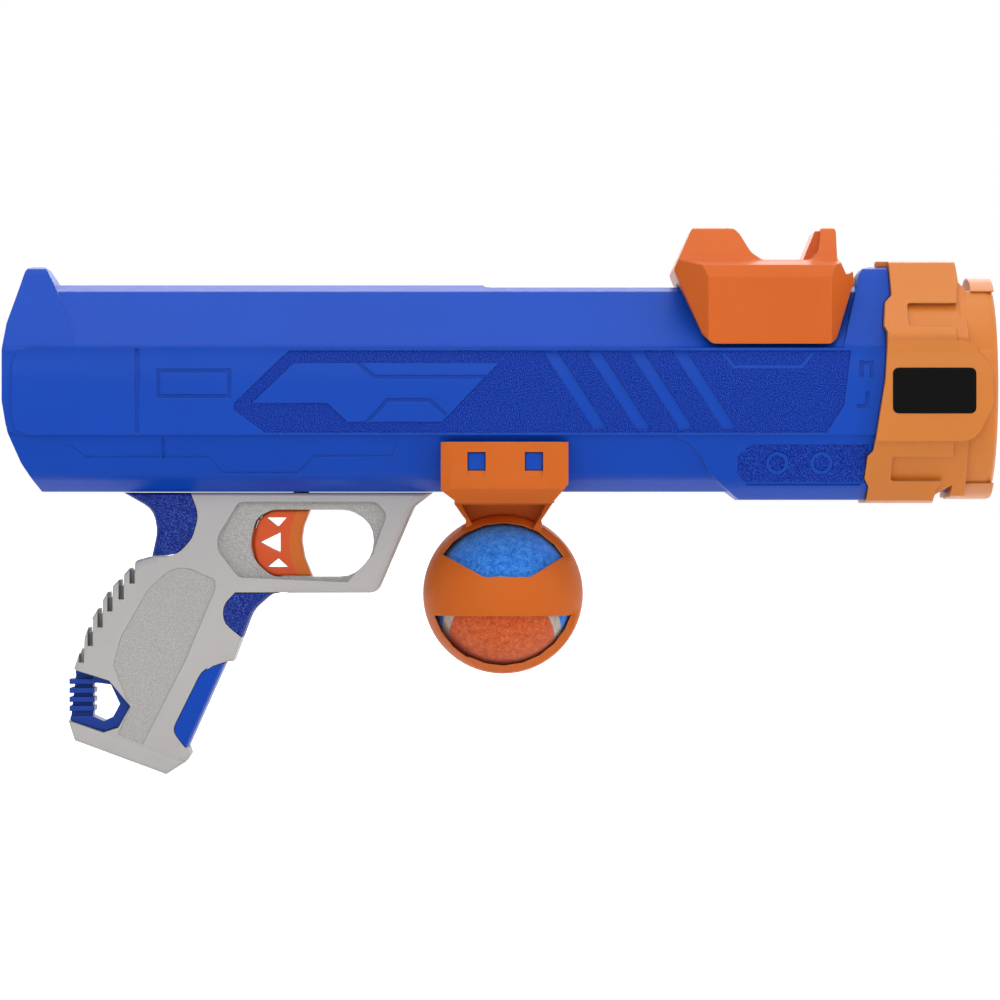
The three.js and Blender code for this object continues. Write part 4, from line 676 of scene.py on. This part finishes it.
def bare_plate():
    bm = bmesh.new()
    bmesh.ops.create_cube(bm, size=1, matrix=Matrix.Diagonal((PLATE_LONG, PLATE_SINK, PLATE_HIGH, 1)))
    upright = [edge for edge in bm.edges if abs(edge.verts[0].co.y - edge.verts[1].co.y) > PLATE_SINK / 2]
    bmesh.ops.bevel(bm, geom=upright, offset=PLATE_CORNER, affect="EDGES", segments=7, profile=0.5,
                    material=-1)
    bmesh.ops.translate(bm, verts=bm.verts, vec=PLATE_MIDDLE)
    piece = object_from(bm, "bare_plate", [PLATE])
    smooth_by_angle(piece, PLATE_CREASE)
    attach(piece, "launcher")


moulded("muzzle_cap_skin", "muzzle_cap", "launcher", [AMBER], CAP_EDGE, before=sink_panel)
bare_plate()


# Felt ball, its two colours parted by the pale glued seam

BALL_RADIUS = 33 * MM
BALL_CENTRE = (Vector(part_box("ball")[0]) + Vector(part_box("ball")[1])) / 2
SEAM_HALF = 0.09
SEAM_BLUR = 0.006
COLOUR_BLUR = 0.004
SEAM_DEPTH = 0.5 * MM
SEAM_SLOPE_SHARES = (0.75, 0.5)  # of its half width: where it starts to rise, and over how much
NAP = 0.12 * MM
NAP_SCALE = 60
SEAM_CROWN = 0.6  # over this height one panel takes over
CROWN_SWELL = 6
SEAM_REACH = (0.125, 0.156)
LOBE_SPREAD = 1.5
LOBE_TILT = math.radians(50)
LOBE_SHIFT = 0.04
LOBE_TURN = Matrix((
    (0, -math.cos(LOBE_TILT), -math.sin(LOBE_TILT)),
    (-1, 0, 0),
    (0, math.sin(LOBE_TILT), -math.cos(LOBE_TILT)),
)).transposed()


def seam_side(point):
    """Below zero on one panel of the ball and above it on the other, for a point on a ball of radius 1."""
    ahead, across, down = LOBE_TURN.transposed() @ point
    across -= LOBE_SHIFT
    return ((across * across - LOBE_SPREAD * ahead * ahead) / 2 - SEAM_REACH[0] * down
            - SEAM_REACH[1] * down ** 3 + CROWN_SWELL * max(0, point.z - SEAM_CROWN) ** 2)


def ball_material():
    material = bpy.data.materials.new("two_colour_felt")
    material.use_nodes = True
    tree = material.node_tree
    surface = tree.nodes["Principled BSDF"]
    place = put(tree, "TexCoord").outputs["Object"]
    turned = put(tree, "Mapping", {"vector_type": "TEXTURE"}, Vector=place, Location=BALL_CENTRE,
                 Rotation=LOBE_TURN.to_euler(), Scale=(BALL_RADIUS,) * 3).outputs["Vector"]
    parts = put(tree, "SeparateXYZ", None, Vector=turned).outputs
    across = maths(tree, "SUBTRACT", parts["Y"], LOBE_SHIFT)
    wide = maths(tree, "MULTIPLY", maths(tree, "MULTIPLY", across, across), 0.5)
    long = maths(tree, "MULTIPLY", maths(tree, "MULTIPLY", parts["X"], parts["X"]), LOBE_SPREAD / 2)
    bent = maths(tree, "MULTIPLY", maths(tree, "POWER", maths(tree, "ABSOLUTE", parts["Z"]), 3.0),
                 maths(tree, "SIGN", parts["Z"]))
    side = maths(tree, "SUBTRACT", wide, long)
    side = maths(tree, "SUBTRACT", side, maths(tree, "MULTIPLY", parts["Z"], SEAM_REACH[0]))
    side = maths(tree, "SUBTRACT", side, maths(tree, "MULTIPLY", bent, SEAM_REACH[1]))
    height = put(tree, "SeparateXYZ", None, Vector=place).outputs["Z"]
    crown = ranged(tree, height, BALL_CENTRE.z + SEAM_CROWN * BALL_RADIUS, BALL_CENTRE.z + BALL_RADIUS, 0,
                   1 - SEAM_CROWN)
    side = maths(tree, "MULTIPLY_ADD", maths(tree, "MULTIPLY", crown, crown), float(CROWN_SWELL), side)
    blue = effect_in(tree, "felt", {
        "Color": shade(42, 130, 232), "Tuft Color": shade(108, 178, 250), "Shadow Color": shade(22, 80, 182)})
    red = effect_in(tree, "felt", {
        "Color": shade(206, 90, 38), "Tuft Color": shade(230, 134, 86), "Shadow Color": shade(168, 62, 24)})
    seam = effect_in(tree, "felt", {
        "Color": shade(192, 184, 176), "Tuft Color": shade(214, 208, 202),
        "Shadow Color": shade(160, 150, 142)})
    over = ranged(tree, side, -COLOUR_BLUR, COLOUR_BLUR, 0, 1)
    felt = blend_colour(tree, over, red["Color"], blue["Color"])
    off = maths(tree, "ABSOLUTE", side)
    near = ranged(tree, off, SEAM_HALF - SEAM_BLUR, SEAM_HALF + SEAM_BLUR, 1, 0)
    tree.links.new(blend_colour(tree, near, felt, seam["Color"]), surface.inputs["Base Color"])
    bump = put(tree, "Bump", None, Strength=0.6, Distance=0.5 * MM, Height=blue["Height"])
    tree.links.new(bump.outputs["Normal"], surface.inputs["Normal"])
    surface.inputs["Roughness"].default_value = 0.95
    surface.inputs["Specular IOR Level"].default_value = 0.15
    surface.inputs["Sheen Weight"].default_value = 0.2
    surface.inputs["Sheen Roughness"].default_value = 0.5
    return material


def felt_ball():
    """A felt ball with a sunk seam and a slightly uneven nap."""
    bm = bmesh.new()
    bmesh.ops.create_icosphere(bm, subdivisions=6, radius=1)
    for vert in bm.verts:
        out = vert.co.normalized()
        rise = (abs(seam_side(out)) / SEAM_HALF - SEAM_SLOPE_SHARES[0]) / SEAM_SLOPE_SHARES[1]
        near = 1 - min(1, max(0, rise))
        sunk = SEAM_DEPTH * near * near * (3 - 2 * near)
        nap = NAP * (1 + noise.noise(out * NAP_SCALE)) * (1 - near)
        vert.co = BALL_CENTRE + out * (BALL_RADIUS - sunk - nap)
    piece = object_from(bm, "felt_ball", [ball_material()])
    piece.data.shade_smooth()
    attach(piece, "ball")
    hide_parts("ball")


felt_ball()


# Wound springs

COIL_STEPS = 28
WIRE_SIDES = 10


def wound_spring(name, node, turns, wire, axis):
    """A round-wire coil between the node's ends, wound along X or Z."""
    low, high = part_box(node)
    middle = (low + high) / 2
    along = Vector(axis)
    length = (high - low).dot(along)
    radius = (high.y - low.y) / 2 - wire
    start = middle - along * (length / 2 - wire)
    bm = bmesh.new()
    bmesh.ops.create_circle(bm, cap_ends=False, segments=WIRE_SIDES, radius=wire)
    out = Vector((0, 0, 1)) if along.x else Vector((1, 0, 0))
    bmesh.ops.rotate(bm, verts=bm.verts, matrix=Matrix.Rotation(math.pi / 2, 3, "X"))
    bmesh.ops.translate(bm, verts=bm.verts, vec=start + out * radius)
    bmesh.ops.spin(
        bm, geom=bm.verts[:] + bm.edges[:], cent=start, axis=along, angle=2 * math.pi * turns,
        steps=COIL_STEPS * turns, dvec=along * (length - 2 * wire) / (COIL_STEPS * turns),
    )
    bmesh.ops.remove_doubles(bm, verts=bm.verts, dist=WELD / 10)
    bmesh.ops.holes_fill(bm, edges=[edge for edge in bm.edges if edge.is_boundary])
    bmesh.ops.recalc_face_normals(bm, faces=bm.faces)
    sort_by_points(bm)
    piece = object_from(bm, name, [STEEL])
    smooth_by_angle(piece, WIRE_CREASE)
    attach(piece, "launcher")
    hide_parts(node)
    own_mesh(piece)


MAIN_WIRE = 1.8 * MM
TRIGGER_WIRE = 0.65 * MM
CATCH_WIRE = 0.55 * MM

wound_spring("main_spring_coil", "main_spring", 12, MAIN_WIRE, (1, 0, 0))
wound_spring("trigger_spring_coil", "trigger_spring", 5, TRIGGER_WIRE,
             (1, 0, 0))
wound_spring("catch_spring_coil", "catch_spring", 5, CATCH_WIRE, (0, 0, 1))


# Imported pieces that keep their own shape

def finish_node(node, material):
    """The finish of a piece on all its slots."""
    mesh = nodes[node].data
    if not mesh.materials:
        mesh.materials.append(material)
    for slot in nodes[node].material_slots:
        slot.material = material


for name in nodes:
    if "screw" in name or "spring" in name:
        finish_node(name, STEEL)
for name in ("barrel_tube", "air_cylinder", "cylinder_rear_cap", "draw_bar", "catch"):
    finish_node(name, INNER)
for name in ("bumper_pad", "piston_ring"):
    finish_node(name, RUBBER)
for name in ("piston", "plunger_rod"):
    finish_node(name, ORANGE)

scene.view_settings.view_transform = "Standard"
